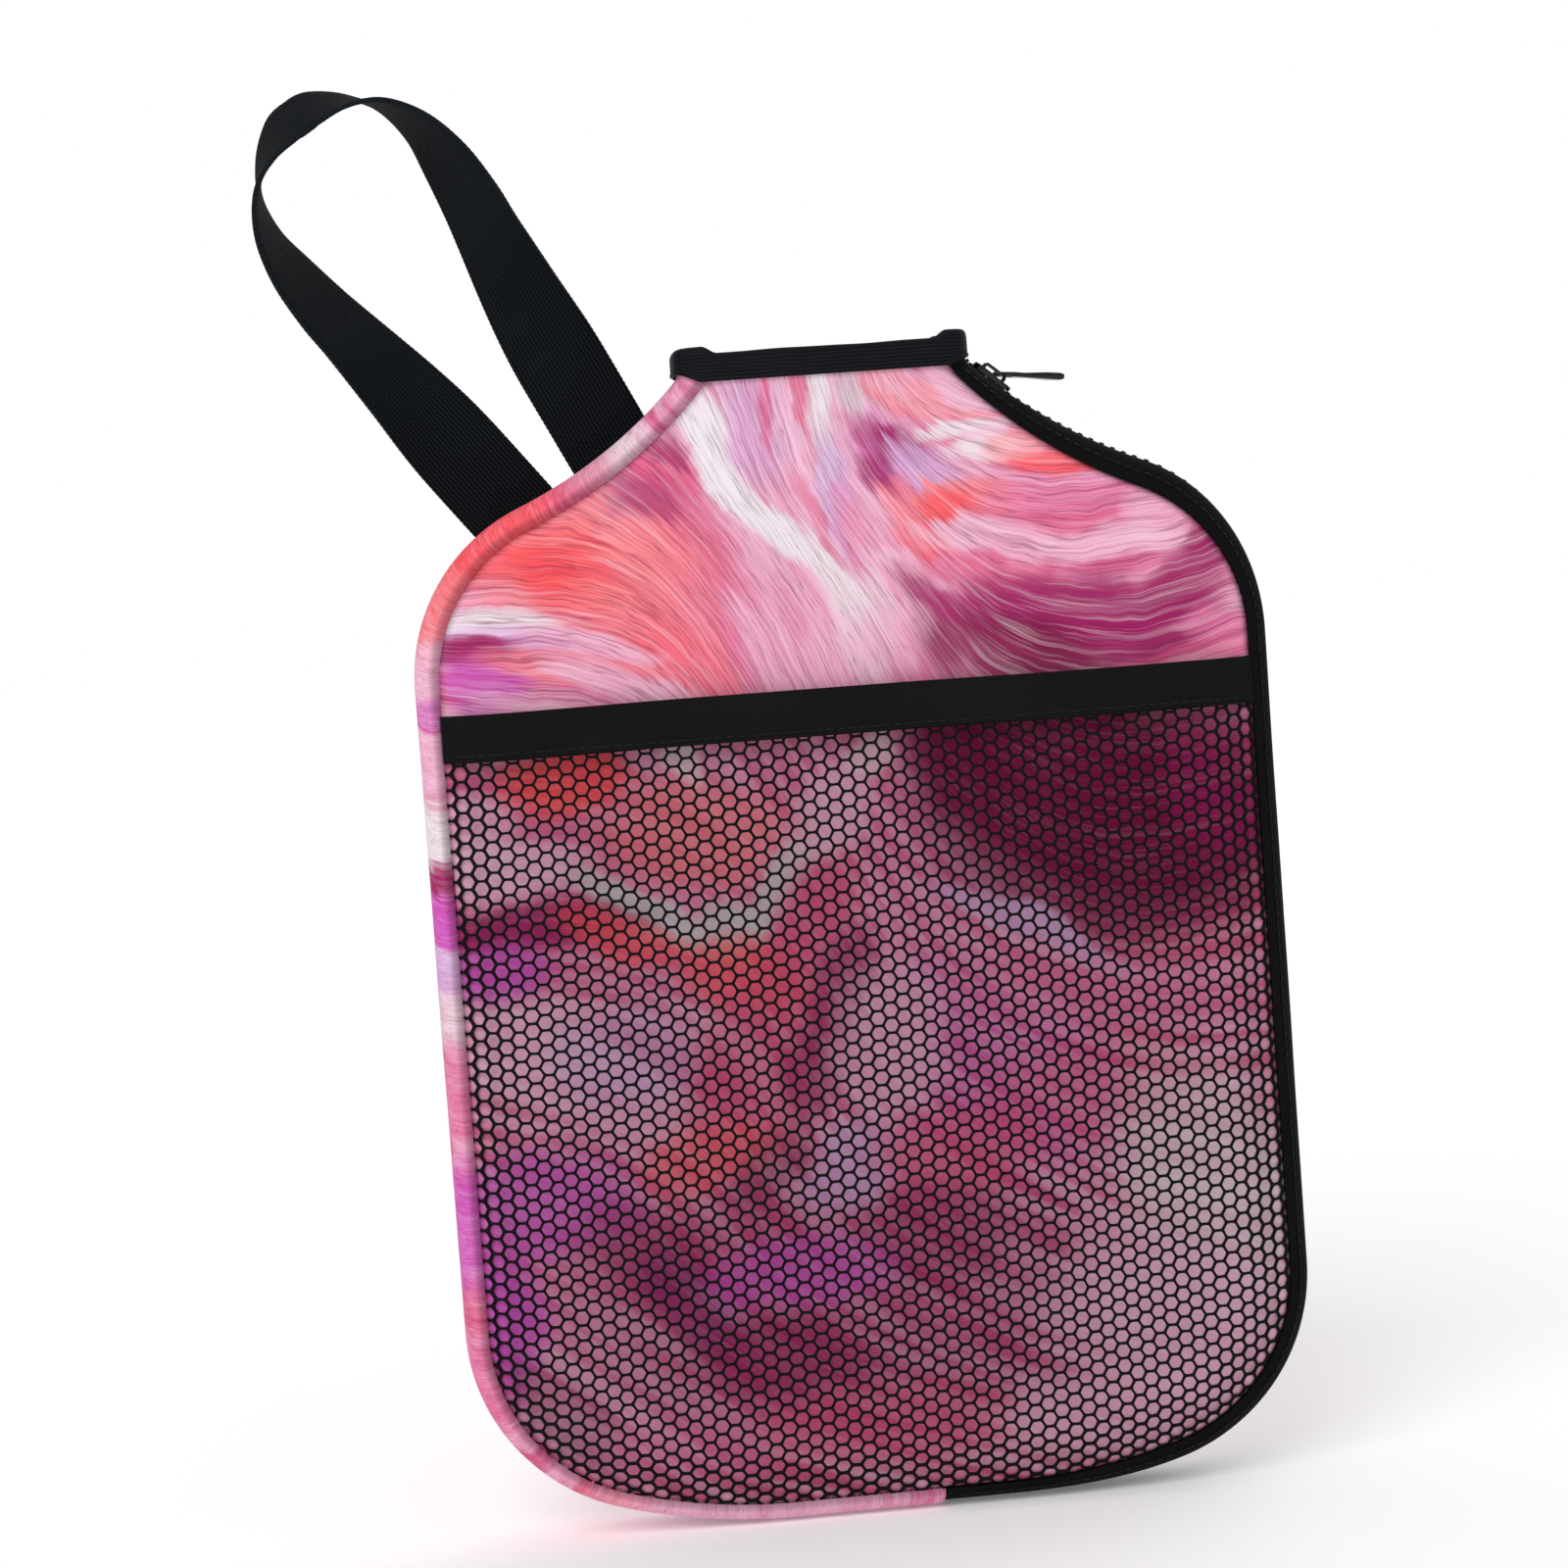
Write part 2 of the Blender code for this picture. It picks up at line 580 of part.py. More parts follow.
def make_pull(finish):
    """Flat pull, hung by the pin across its eye."""
    frame = slider_frame()
    hang = frame @ Vector((PULL_SIDE, 0.0, PLATE_OUT + GAP + PULL_PIN_RADIUS))
    eye_end = PULL_PIN_RADIUS + PULL_EYE
    thin = 2 * PULL_PIN_RADIUS
    plan = ((-PULL_PIN_RADIUS, PULL_HALF_WIDTH - PULL_EDGE, thin),
            (PULL_EDGE - PULL_PIN_RADIUS, PULL_HALF_WIDTH, thin),
            (eye_end, PULL_HALF_WIDTH, PULL_THICK),
            (eye_end + PULL_HALF_WIDTH, PULL_WAIST, PULL_THICK),
            (PULL_LENGTH - PULL_GRIP, PULL_HALF_WIDTH, PULL_END_THICK),
            (PULL_LENGTH - 2 * PULL_EDGE, PULL_HALF_WIDTH - PULL_EDGE, PULL_END_THICK),
            (PULL_LENGTH, PULL_WAIST, PULL_THICK))
    pull = add_object("zipper_pull", loft([pull_section(*row) for row in plan]), finish)
    window = BRIDGE_HALF_WIDTH + 1.5 * GAP
    hole = [Vector((x, y, -PULL_END_THICK)) for x, y in
            ((PULL_PIN_RADIUS, -window), (eye_end - MM, -window), (eye_end, -window + MM),
             (eye_end, window - MM), (eye_end - MM, window), (PULL_PIN_RADIUS, window))]
    cutter = add_object("pull_eye", prism(hole, Vector((0.0, 0.0, 2 * PULL_END_THICK))), finish)
    cut = pull.modifiers.new("eye", "BOOLEAN")
    cut.operation = "DIFFERENCE"
    cut.solver = "EXACT"
    cut.object = cutter
    cutter.hide_render = True
    cutter.display_type = "WIRE"
    for body in (pull, cutter):
        body.location = hang
        body.rotation_euler = (0.0, -PULL_LEAN, 0.0)
    return pull


# ---------------------------------------------------------------- neck binding

def mouth_line():
    """Middle of the wall round the neck's mouth: place past the panel's edge, Y, half room."""
    flat = GUSSET_FLAT / 2
    wall = (SEAM_OUT + HALF_DEPTH) / 2
    room = FOAM / 2 + GAP
    tape_room = TAPE / 2 + GAP
    middle = SEAM_OUT - GUSSET_FOAM / 2 - flat
    bow = GUSSET_LIFT - GUSSET_FOAM / 2 - GAP
    left = [(-GAP - bow * math.cos(turn), flat + middle * math.sin(turn), room)
            for turn in (math.radians(step) for step in (0, 30, 60, 85))]
    front = [(0.0, wall, room)] * 4 + [(2 * GAP, wall, room)]
    tape_mid = SEAM_OUT - TAPE / 2 - TAPE_FLAT
    right = [(GAP + (CHAIN_LIFT_AT_NECK - GAP) * math.sin(turn),
              TAPE_FLAT + tape_mid * math.cos(turn),
              blend(1.5 * tape_room, tape_room, 2 * turn / math.pi))
             for turn in (math.radians(step) for step in (30, 50, 70, 90))]
    right.append((CHAIN_LIFT_AT_NECK, BINDING_MOUTH, tape_room))
    return left, front, right


def make_neck_binding(finish):
    """Folded tape sewn over the mouth's raw edge, open at the zipper."""
    left, front, right = mouth_line()
    shares = (-1.0, -0.85, 0.0, 0.85, 1.0)
    half = [(-1.0, n, y, room) for n, y, room in left]
    half += [(share, n, y, room) for share, (n, y, room) in zip(shares, front)]
    half += [(1.0, n, y, room) for n, y, room in right]
    line = [(share, n, -y, room) for share, n, y, room in half[::-1]] + half

    def flat_place(share, n, y):
        return Vector((share * NECK_HALF_WIDTH + n, y))

    def world(place, drop):
        """Bend the flat plan down the seam line."""
        point, out = SEAM.find(drop)
        over = abs(place.x) - NECK_HALF_WIDTH
        side = 1.0 if place.x >= 0 else -1.0
        if over <= 0:
            return Vector((point.x * place.x / NECK_HALF_WIDTH, place.y, point.y))
        return Vector((side * (point.x + over * out.x), place.y, point.y + over * out.y))

    places = [flat_place(share, n, y) for share, n, y, _ in line]
    sections = []
    for index, (_, _, _, room) in enumerate(line):
        before = places[max(index - 1, 0)]
        after = places[min(index + 1, len(places) - 1)]
        step = (after - before).normalized()
        out = Vector((step.y, -step.x))
        over = abs(places[index].x) - NECK_HALF_WIDTH
        rise = BINDING + GAP + CORNER_BUMP * smooth(1.0 + over / BUMP_FADE) * smooth(
            1.0 - (over - BUMP_FADE) / BUMP_FADE)
        wide, edge = room + BINDING, BINDING_EDGE - rise
        profile = ((wide, BINDING_DROP), (wide, edge),
                   (wide - BINDING_EDGE, -rise), (BINDING_EDGE - wide, -rise),
                   (-wide, edge), (-wide, BINDING_DROP),
                   (-room, BINDING_DROP), (-room, -GAP), (room, -GAP), (room, BINDING_DROP))
        sections.append([world(places[index] + out * away, drop) for away, drop in profile])
    return add_object("neck_binding", loft(sections), finish)


# ---------------------------------------------------------------- pocket

def pocket_back(inset):
    """Y of the pocket's inner face at a distance in from the seam line."""
    return -(PANEL_FACE + GAP + POCKET_DEPTH * smooth(inset / POCKET_SLOPE))


def pocket_insets():
    return [POCKET_SLOPE * share for share in (0.0, 0.2, 0.4, 0.6, 0.8, 1.0)]


def make_pocket_net(finish):
    """The mesh as a thin dish, sewn into the seam at the sides and along the bottom."""
    top = SEAM.side_start + SEAM.side_top - (POCKET_TOP - ELASTIC_HEIGHT - GAP)
    marks = SEAM.marks(top, SEAM.length)[:-1]
    insets = pocket_insets()
    columns = [(mark, 1) for mark in marks] + [(mark, -1) for mark in marks[::-1]]
    bm = bmesh.new()

    def layer(thick):
        return [[bm.verts.new(SEAM.spot(mark, -GAP - inset, pocket_back(inset) - thick, side))
                 for inset in insets] for mark, side in columns]

    back, front = layer(0.0), layer(NET)
    for grid in (back, front):
        for first, second in zip(grid, grid[1:]):
            for index in range(len(insets) - 1):
                bm.faces.new((first[index], first[index + 1], second[index + 1], second[index]))
        bm.faces.new([column[-1] for column in grid])
    for index in range(len(columns) - 1):
        bm.faces.new((back[index][0], back[index + 1][0], front[index + 1][0], front[index][0]))
    for end in (0, -1):
        for index in range(len(insets) - 1):
            bm.faces.new((back[end][index], back[end][index + 1],
                          front[end][index + 1], front[end][index]))
    bm.faces.new((back[0][-1], back[-1][-1], front[-1][-1], front[0][-1]))
    return add_object("pocket_mesh", bm, finish)


def make_elastic(finish):
    """Elastic band along the pocket's mouth, which reaches into the seam at both sides."""
    edge = PANEL_HALF_WIDTH - GAP
    half = [(edge - inset, pocket_back(inset)) for inset in pocket_insets()]
    run = [(-x, y) for x, y in half] + half[::-1]
    bottom = POCKET_TOP - ELASTIC_HEIGHT
    sections = [[Vector((x, y, bottom)), Vector((x, y - ELASTIC, bottom)),
                 Vector((x, y - ELASTIC, POCKET_TOP)), Vector((x, y, POCKET_TOP))]
                for x, y in run]
    return add_object("pocket_elastic_band", loft(sections), finish)


# ---------------------------------------------------------------- carrying loop

def strap_line():
    """The loop's middle line with its twist, smoothed through the route's points."""
    half = [Vector(row) for row in STRAP_ROUTE]
    other = [Vector((row.x, -row.y, row.z)) for row in half[::-1]]
    route = half + [Vector(STRAP_TOP)] + other
    ends = [2 * route[0] - route[1]] + route + [2 * route[-1] - route[-2]]
    line = []
    for before, first, second, after in zip(ends, ends[1:], ends[2:], ends[3:]):
        for step in range(STRAP_STEPS):
            share = step / STRAP_STEPS
            pull = (second - before) * share
            bend = (2 * before - 5 * first + 4 * second - after) * share ** 2
            twist = (3 * first - before - 3 * second + after) * share ** 3
            line.append(first + (pull + bend + twist) / 2)
    return line + [route[-1]]


def make_strap(finish):
    """Webbing loop, sewn by both ends to the back of the left shoulder, cut square at the seam."""
    at = SEAM.hollow_start + STRAP_FROM_HOLLOW
    out = SEAM.find(at)[1]
    lean = math.atan2(out.y, -out.x) + STRAP_LEAN
    up = Vector((math.cos(lean), 0.0, math.sin(lean)))
    across = Vector((-up.z, 0.0, up.x))
    back = Vector((0.0, 1.0, 0.0))
    plane = PANEL_FACE + STRAP_CLEARANCE + WEBBING / 2
    foot = SEAM.spot(at, STRAP_PAST_SEAM, plane, side=-1)
    line = strap_line()
    last = len(line) - 1
    sections = []
    for index, here in enumerate(line):
        step = line[min(index + 1, last)] - line[max(index - 1, 0)]
        if index in (0, last):
            step = Vector((math.copysign(1.0, step.x), 0.0, 0.0))
        along = (up * step.x + across * step.y).normalized()
        outward = along.cross(back) * -1.0
        turn = math.radians(here.z)
        wide = (outward * math.cos(turn) + back * math.sin(turn)) * WEBBING_WIDTH / 2
        thick = along.cross(wide).normalized() * WEBBING / 2
        middle = foot + (up * here.x + across * here.y) * MM
        sections.append([middle + wide + thick, middle + wide - thick,
                         middle - wide - thick, middle - wide + thick])
    return add_object("strap_webbing", loft(sections), finish, foot + up * STRAP_ROOT)


# ---------------------------------------------------------------- the case

def main():
    for stale in list(bpy.data.objects):
        bpy.data.objects.remove(stale, do_unlink=True)
    print_foam = material("printed_neoprene", (0.78, 0.30, 0.45), 0.85)
    back_foam = material("black_neoprene", (0.02, 0.02, 0.02), 0.85)
    webbing = material("black_webbing", (0.015, 0.015, 0.016), 0.75)
    binding = material("black_binding", (0.012, 0.012, 0.013), 0.8)
    net = material("black_net", (0.02, 0.02, 0.02), 0.7)
    resin = material("black_resin", (0.01, 0.01, 0.01), 0.45)
    lacquer = material("black_lacquer", (0.01, 0.01, 0.01), 0.25, 0.6)

    make_panel("front_panel", -1, print_foam)
    make_panel("back_panel", 1, back_foam)
    make_gusset(print_foam)
    make_neck_binding(binding)
    make_pocket_net(net)
    make_elastic(webbing)
    for name, side in (("front", -1), ("back", 1)):
        make_fin(f"seam_binding_{name}", side, binding)
        make_tape(f"zipper_tape_{name}", side, binding)
        make_teeth(f"zipper_teeth_{name}", side, resin)
        make_stop(f"top_stop_{name}", STOPS_AT, side * (TOOTH_REACH + GAP + OPEN_SPREAD),
                  side * (CHAIN_HALF_WIDTH + OPEN_SPREAD), resin)
    make_stop("bottom_stop", TEETH_END + GAP, -CHAIN_HALF_WIDTH, CHAIN_HALF_WIDTH, resin)
    make_slider(lacquer)
    make_pull(lacquer)
    make_strap(webbing)


main()
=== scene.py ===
"""Looks of a zipped neoprene paddle case: print, foam, net, webbing, zipper and threads.

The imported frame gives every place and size. Each part of the case is a class that builds its
own meshes in the frame's metres, dresses them and hands them to the body they belong to.
"""
from __future__ import annotations

import json
import logging
import math
from dataclasses import dataclass, field
from enum import Enum
from typing import Callable, Sequence

import bmesh
import bpy
import numpy as np
from mathutils import Matrix, Vector
from mathutils.geometry import delaunay_2d_cdt

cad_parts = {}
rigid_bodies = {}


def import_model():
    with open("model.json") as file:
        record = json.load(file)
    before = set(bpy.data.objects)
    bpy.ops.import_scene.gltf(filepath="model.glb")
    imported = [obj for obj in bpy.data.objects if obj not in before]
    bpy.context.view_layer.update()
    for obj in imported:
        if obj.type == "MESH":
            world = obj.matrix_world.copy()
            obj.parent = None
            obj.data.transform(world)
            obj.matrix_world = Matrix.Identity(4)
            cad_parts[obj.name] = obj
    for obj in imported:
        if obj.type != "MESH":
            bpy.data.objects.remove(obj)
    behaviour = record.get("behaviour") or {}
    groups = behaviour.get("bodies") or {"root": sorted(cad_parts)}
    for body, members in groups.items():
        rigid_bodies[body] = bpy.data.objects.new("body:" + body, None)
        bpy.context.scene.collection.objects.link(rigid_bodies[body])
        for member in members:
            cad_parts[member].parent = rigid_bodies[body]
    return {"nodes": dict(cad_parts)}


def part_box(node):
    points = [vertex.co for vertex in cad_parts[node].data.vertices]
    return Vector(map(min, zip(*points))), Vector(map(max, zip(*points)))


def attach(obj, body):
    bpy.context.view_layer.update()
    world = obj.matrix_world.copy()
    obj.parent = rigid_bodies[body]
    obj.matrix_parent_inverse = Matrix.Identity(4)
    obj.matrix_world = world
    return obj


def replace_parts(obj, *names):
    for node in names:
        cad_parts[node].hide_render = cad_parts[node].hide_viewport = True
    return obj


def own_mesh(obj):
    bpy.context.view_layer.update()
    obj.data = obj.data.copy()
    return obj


LOG = logging.getLogger("paddle_case")
MM = 0.001
Array = np.ndarray


class Side(Enum):
    """The two faces of the case, by the sign of Y."""

    FRONT = -1
    BACK = 1

    @property
    def word(self) -> str:
        """The side's name as the frame's nodes spell it."""
        return self.name.lower()


def ease(value: Array | float) -> Array | float:
    """Smooth step from 0 to 1, held outside that range.

    Args:
        value: Share of the way.

    Returns:
        The eased share.
    """
    held = np.clip(value, 0.0, 1.0)
    return held * held * (3.0 - 2.0 * held)


def ripple(first: Array | float, second: Array | float, seed: float) -> Array:
    """A soft, repeatable unevenness made of a few waves, between about -1 and 1.

    Args:
        first: One coordinate, in radians.
        second: The other coordinate, in radians.
        seed: Shifts the pattern.

    Returns:
        The height of the ripple at each place.
    """
    total = np.zeros(np.broadcast(first, second).shape)
    for order, (a, b, share) in enumerate(((1.0, 0.6, 0.5), (-0.7, 1.7, 0.3), (2.3, -1.1, 0.2))):
        total = total + share * np.sin(a * first + b * second + seed * (order + 1.7))
    return total


# ------------------------------------------------------------------ the seam line

@dataclass
class SeamLine:
    """Right-hand edge of the panels, from the neck's top to the middle of the bottom.

    The left edge is its mirror image. The line runs on, straight, past both ends.
    """

    half_width: float
    top: float
    bottom: float
    neck_half_width: float = 33.0 * MM
    neck_straight: float = 2.3 * MM
    neck_radius: float = 10.0 * MM
    hollow_radius: float = 140.0 * MM
    shoulder_radius: float = 45.0 * MM
    shoulder_drop: float = 80.8 * MM
    corner_radius: float = 48.0 * MM
    bottom_radius: float = 157.0 * MM
    bottom_half_flat: float = 30.0 * MM
    pitch: float = 0.5 * MM
    starts: list[float] = field(default_factory=list)

    def __post_init__(self) -> None:
        """Walk the line once and keep its points and outward steps."""
        runs = self.runs()
        points, outs, places, along = [], [], [], 0.0
        for length, where in runs:
            self.starts.append(along)
            count = max(2, int(math.ceil(length / self.pitch)))
            for share in np.linspace(0.0, 1.0, count, endpoint=False):
                point, out = where(share * length)
                points.append(point)
                outs.append(out)
                places.append(along + share * length)
            along += length
        self.length = along
        point, out = runs[-1][1](runs[-1][0])
        self.places = np.array(places + [along])
        self.points = np.array(points + [point])
        self.outs = np.array(outs + [out])
        self.hollow_start, self.hollow_end = self.starts[2], self.starts[3]
        self.side_start, self.corner_start = self.starts[4], self.starts[5]
        self.bottom_start, self.flat_start = self.starts[6], self.starts[7]

    @staticmethod
    def straight(start: Sequence[float], end: Sequence[float]) -> tuple[float, Callable]:
        """A straight run: its length, and its point and outward step at a distance."""
        first, last = np.array(start, float), np.array(end, float)
        length = float(np.linalg.norm(last - first))
        step = (last - first) / length
        return length, lambda d: (first + step * d, np.array((-step[1], step[0])))

    @staticmethod
    def round(centre: Sequence[float], radius: float, first: float,
              last: float) -> tuple[float, Callable]:
        """A round run between two angles: its length, and its point and outward step."""
        turn = 1.0 if last > first else -1.0
        middle = np.array(centre, float)

        def where(along: float) -> tuple[Array, Array]:
            """Point and outward step at a distance along the round run."""
            angle = first + turn * along / radius
            arm = np.array((math.cos(angle), math.sin(angle)))
            return middle + radius * arm, -turn * arm

        return abs(last - first) * radius, where

    def runs(self) -> list[tuple[float, Callable]]:
        """The straight and round runs that make up the line, in order."""
        neck = Vector((self.neck_half_width + self.neck_radius, self.top - self.neck_straight))
        shoulder = Vector((self.half_width - self.shoulder_radius, neck.y - self.shoulder_drop))
        hollow = meet(neck, self.hollow_radius - self.neck_radius,
                      shoulder, self.hollow_radius + self.shoulder_radius)
        into_hollow = turn_of(neck - hollow)
        out_of_hollow = turn_of(shoulder - hollow)
        low = Vector((self.bottom_half_flat, self.bottom + self.bottom_radius))
        corner_x = self.half_width - self.corner_radius
        reach = self.bottom_radius - self.corner_radius
        corner = Vector((corner_x, low.y - math.sqrt(reach ** 2 - (corner_x - low.x) ** 2)))
        into_low = turn_of(corner - low) - math.tau
        return [
            self.straight((self.neck_half_width, self.top), (self.neck_half_width, neck.y)),
            self.round(neck, self.neck_radius, math.pi, into_hollow),
            self.round(hollow, self.hollow_radius, into_hollow, out_of_hollow),
            self.round(shoulder, self.shoulder_radius, out_of_hollow - math.pi, 0.0),
            self.straight((self.half_width, shoulder.y), (self.half_width, corner.y)),
            self.round(corner, self.corner_radius, 0.0, into_low),
            self.round(low, self.bottom_radius, into_low, -math.pi / 2),
            self.straight((low.x, self.bottom), (0.0, self.bottom)),
        ]

    def find(self, along: Array) -> tuple[Array, Array]:
        """Points and outward steps at distances along the line.

        Args:
            along: Distances, which may lie past the line's ends.

        Returns:
            Two arrays of XZ pairs.
        """
        held = np.clip(along, 0.0, self.length)
        point = np.stack([np.interp(held, self.places, self.points[:, k]) for k in (0, 1)], -1)
        out = np.stack([np.interp(held, self.places, self.outs[:, k]) for k in (0, 1)], -1)
        out /= np.linalg.norm(out, axis=-1, keepdims=True)
        past = np.asarray(along) - held
        step = np.stack([out[..., 1], -out[..., 0]], -1)
        return point + step * past[..., None], out

    def spots(self, along: Array, lift: Array, y: Array, side: int = 1) -> Array:
        """World places at lifts outwards from the line, on the right (1) or left (-1)."""
        along, lift, y = np.broadcast_arrays(along, lift, y)
        point, out = self.find(along)
        place = point + out * lift[..., None]
        return np.stack([side * place[..., 0], y, place[..., 1]], -1)

    def depth(self, x: Array, z: Array) -> Array:
        """Distance inwards from the seam line, negative outside it."""
        flat = np.stack([np.abs(np.ravel(x)), np.ravel(z)], -1)
        found = np.empty(len(flat))
        for start in range(0, len(flat), 2000):
            part = flat[start:start + 2000]
            gap = part[:, None, :] - self.points[None, :, :]
            near = np.argmin((gap ** 2).sum(-1), axis=1)
            rows = np.arange(len(part))
            found[start:start + 2000] = -(gap[rows, near] * self.outs[near]).sum(-1)
        return found.reshape(np.shape(x))

    def nearest(self, x: Array, z: Array) -> Array:
        """Distance along the line of its point nearest to each place."""
        flat = np.stack([np.abs(np.ravel(x)), np.ravel(z)], -1)
        found = np.empty(len(flat))
        for start in range(0, len(flat), 2000):
            gap = flat[start:start + 2000, None, :] - self.points[None, :, :]
            found[start:start + 2000] = self.places[np.argmin((gap ** 2).sum(-1), axis=1)]
        return found.reshape(np.shape(x))


def meet(first: Vector, first_radius: float, second: Vector, second_radius: float) -> Vector:
    """The point at both distances from two centres, on the right of the line between them."""
    line = second - first
    gap = line.length
    along = (first_radius ** 2 - second_radius ** 2 + gap ** 2) / (2 * gap)
    across = math.sqrt(first_radius ** 2 - along ** 2)
    step = line / gap
    return first + step * along + Vector((-step.y, step.x)) * across


def turn_of(step: Vector) -> float:
    """Direction of an XZ step, from 0 to a full turn."""
    return math.atan2(step.y, step.x) % math.tau


@dataclass
class ChainLine:
    """How the closed zipper stands off the seam line, and where its rows part."""

    seam: SeamLine
    radius: float = 150.0 * MM
    at_neck: float = 4.5 * MM
    at_shoulder: float = 6.8 * MM
    on_side: float = 5.1 * MM
    at_bottom: float = 3.6 * MM
    slider_from_hollow: float = 7.9 * MM
    slider_length: float = 12.0 * MM
    open_spread: float = 1.8 * MM

    def __post_init__(self) -> None:
        """Find the round that the chain follows along the hollow, and the slider's place."""
        (start, end), (out_a, out_b) = self.seam.find(
            np.array((self.seam.hollow_start, self.seam.hollow_end)))
        first = Vector(start + out_a * self.at_neck)
        last = Vector(end + out_b * self.at_shoulder)
        self.centre = np.array(meet(first, self.radius, last, self.radius))
        self.slider_at = self.seam.hollow_start + self.slider_from_hollow

    def lift(self, along: Array) -> Array:
        """How far the chain stands out past the seam line."""
        seam = self.seam
        along = np.asarray(along, float)
        point, out = seam.find(along)
        offset = point - self.centre
        half = (offset * out).sum(-1)
        bow = -half - np.sqrt(np.maximum(
            half ** 2 - (offset ** 2).sum(-1) + self.radius ** 2, 0.0))
        side = ease((along - seam.hollow_end) / (seam.side_start - seam.hollow_end))
        low = ease((along - seam.bottom_start) / (seam.flat_start - seam.bottom_start))
        past = self.at_shoulder + (self.on_side - self.at_shoulder) * side
        past = past + (self.at_bottom - past) * low
        lift = np.where(along < seam.hollow_end, bow, past)
        return np.where(along <= seam.hollow_start, self.at_neck, lift)

    def spread(self, along: Array) -> Array:
        """How far each row of teeth stands off its closed place."""
        first = self.slider_at - 0.15 * self.slider_length
        last = self.slider_at + 0.25 * self.slider_length
        return self.open_spread * (1.0 - ease((along - first) / (last - first)))


# ------------------------------------------------------------------ meshes

def link(name: str, mesh: bpy.types.Mesh) -> bpy.types.Object:
    """Put a mesh into the scene as an object at the origin."""
    piece = bpy.data.objects.new(name, mesh)
    bpy.context.collection.objects.link(piece)
    return piece


def skin(name: str, grid: Array, ring: bool = True, caps: bool = True,
         maps: dict[str, Array] | None = None) -> bpy.types.Object:
    """A smooth mesh through a grid of points.

    Args:
        name: The piece's name.
        grid: Points as rows of columns, in metres.
        ring: Whether each row closes on itself.
        caps: Whether the first and last rows are closed with a face.
        maps: Pairs of numbers for each point, kept as UV maps by name.

    Returns:
        The new object.
    """
    rows, columns = grid.shape[:2]
    index = np.arange(rows * columns).reshape(rows, columns)
    nexts = np.roll(index, -1, axis=1) if ring else index[:, 1:]
    here = index if ring else index[:, :-1]
    quads = np.stack([here[:-1], nexts[:-1], nexts[1:], here[1:]], -1).reshape(-1, 4)
    faces = quads.tolist()
    if ring and caps:
        faces += [index[0][::-1].tolist(), index[-1].tolist()]
    mesh = bpy.data.meshes.new(name)
    mesh.from_pydata(grid.reshape(-1, 3).tolist(), [], faces)
    mesh.update()
    write_maps(mesh, maps)
    piece = link(name, mesh)
    face_out(mesh)
    mesh.shade_smooth()
    mesh.set_sharp_from_angle(angle=math.radians(50))
    return piece


def write_maps(mesh: bpy.types.Mesh, maps: dict[str, Array] | None) -> None:
    """Keep pairs of numbers, one pair for each point, as UV maps."""
    corners = np.empty(len(mesh.loops), dtype=np.int32)
    mesh.loops.foreach_get("vertex_index", corners)
    for name, pairs in (maps or {}).items():
        layer = mesh.uv_layers.new(name=name)
        flat = np.asarray(pairs, float).reshape(-1, 2)[corners]
        layer.data.foreach_set("uv", flat.astype(np.float32).ravel())


def face_out(mesh: bpy.types.Mesh) -> None:
    """Turn all faces of a closed mesh outwards."""
    bm = bmesh.new()
    bm.from_mesh(mesh)
    bmesh.ops.recalc_face_normals(bm, faces=bm.faces)
    bm.to_mesh(mesh)
    bm.free()


def bake(piece: bpy.types.Object) -> bpy.types.Object:
    """Turn what a piece's modifiers make into its plain mesh.

    Args:
        piece: An object with modifiers.

    Returns:
        The same object, with no modifiers left.
    """
    graph = bpy.context.evaluated_depsgraph_get()
    made = bpy.data.meshes.new_from_object(piece.evaluated_get(graph), depsgraph=graph)
    old = piece.data
    piece.modifiers.clear()
    piece.data = made
    bpy.data.meshes.remove(old)
    return piece


def softened_copy(source: bpy.types.Object, name: str, width: float,
                  segments: int = 2) -> bpy.types.Object:
    """A frame node's own shape with its hard edges rounded.

    Args:
        source: The frame's object.
        name: The new piece's name.
        width: Width of the rounding.
        segments: Faces across the rounding.

    Returns:
        The new object.
    """
    bm = bmesh.new()
    bm.from_mesh(source.data)
    bmesh.ops.transform(bm, matrix=source.matrix_world, verts=bm.verts)
    bmesh.ops.remove_doubles(bm, verts=bm.verts, dist=0.01 * MM)
    bmesh.ops.dissolve_limit(bm, angle_limit=math.radians(3), verts=bm.verts, edges=bm.edges)
    mesh = bpy.data.meshes.new(name)
    bm.to_mesh(mesh)
    bm.free()
    piece = link(name, mesh)
    rounding = piece.modifiers.new("rounding", "BEVEL")
    rounding.width = width
    rounding.segments = segments
    rounding.limit_method = "ANGLE"
    rounding.angle_limit = math.radians(28)
    rounding.harden_normals = False
    bake(piece)
    piece.data.shade_smooth()
    piece.data.set_sharp_from_angle(angle=math.radians(60))
    return piece


# ------------------------------------------------------------------ shader maths

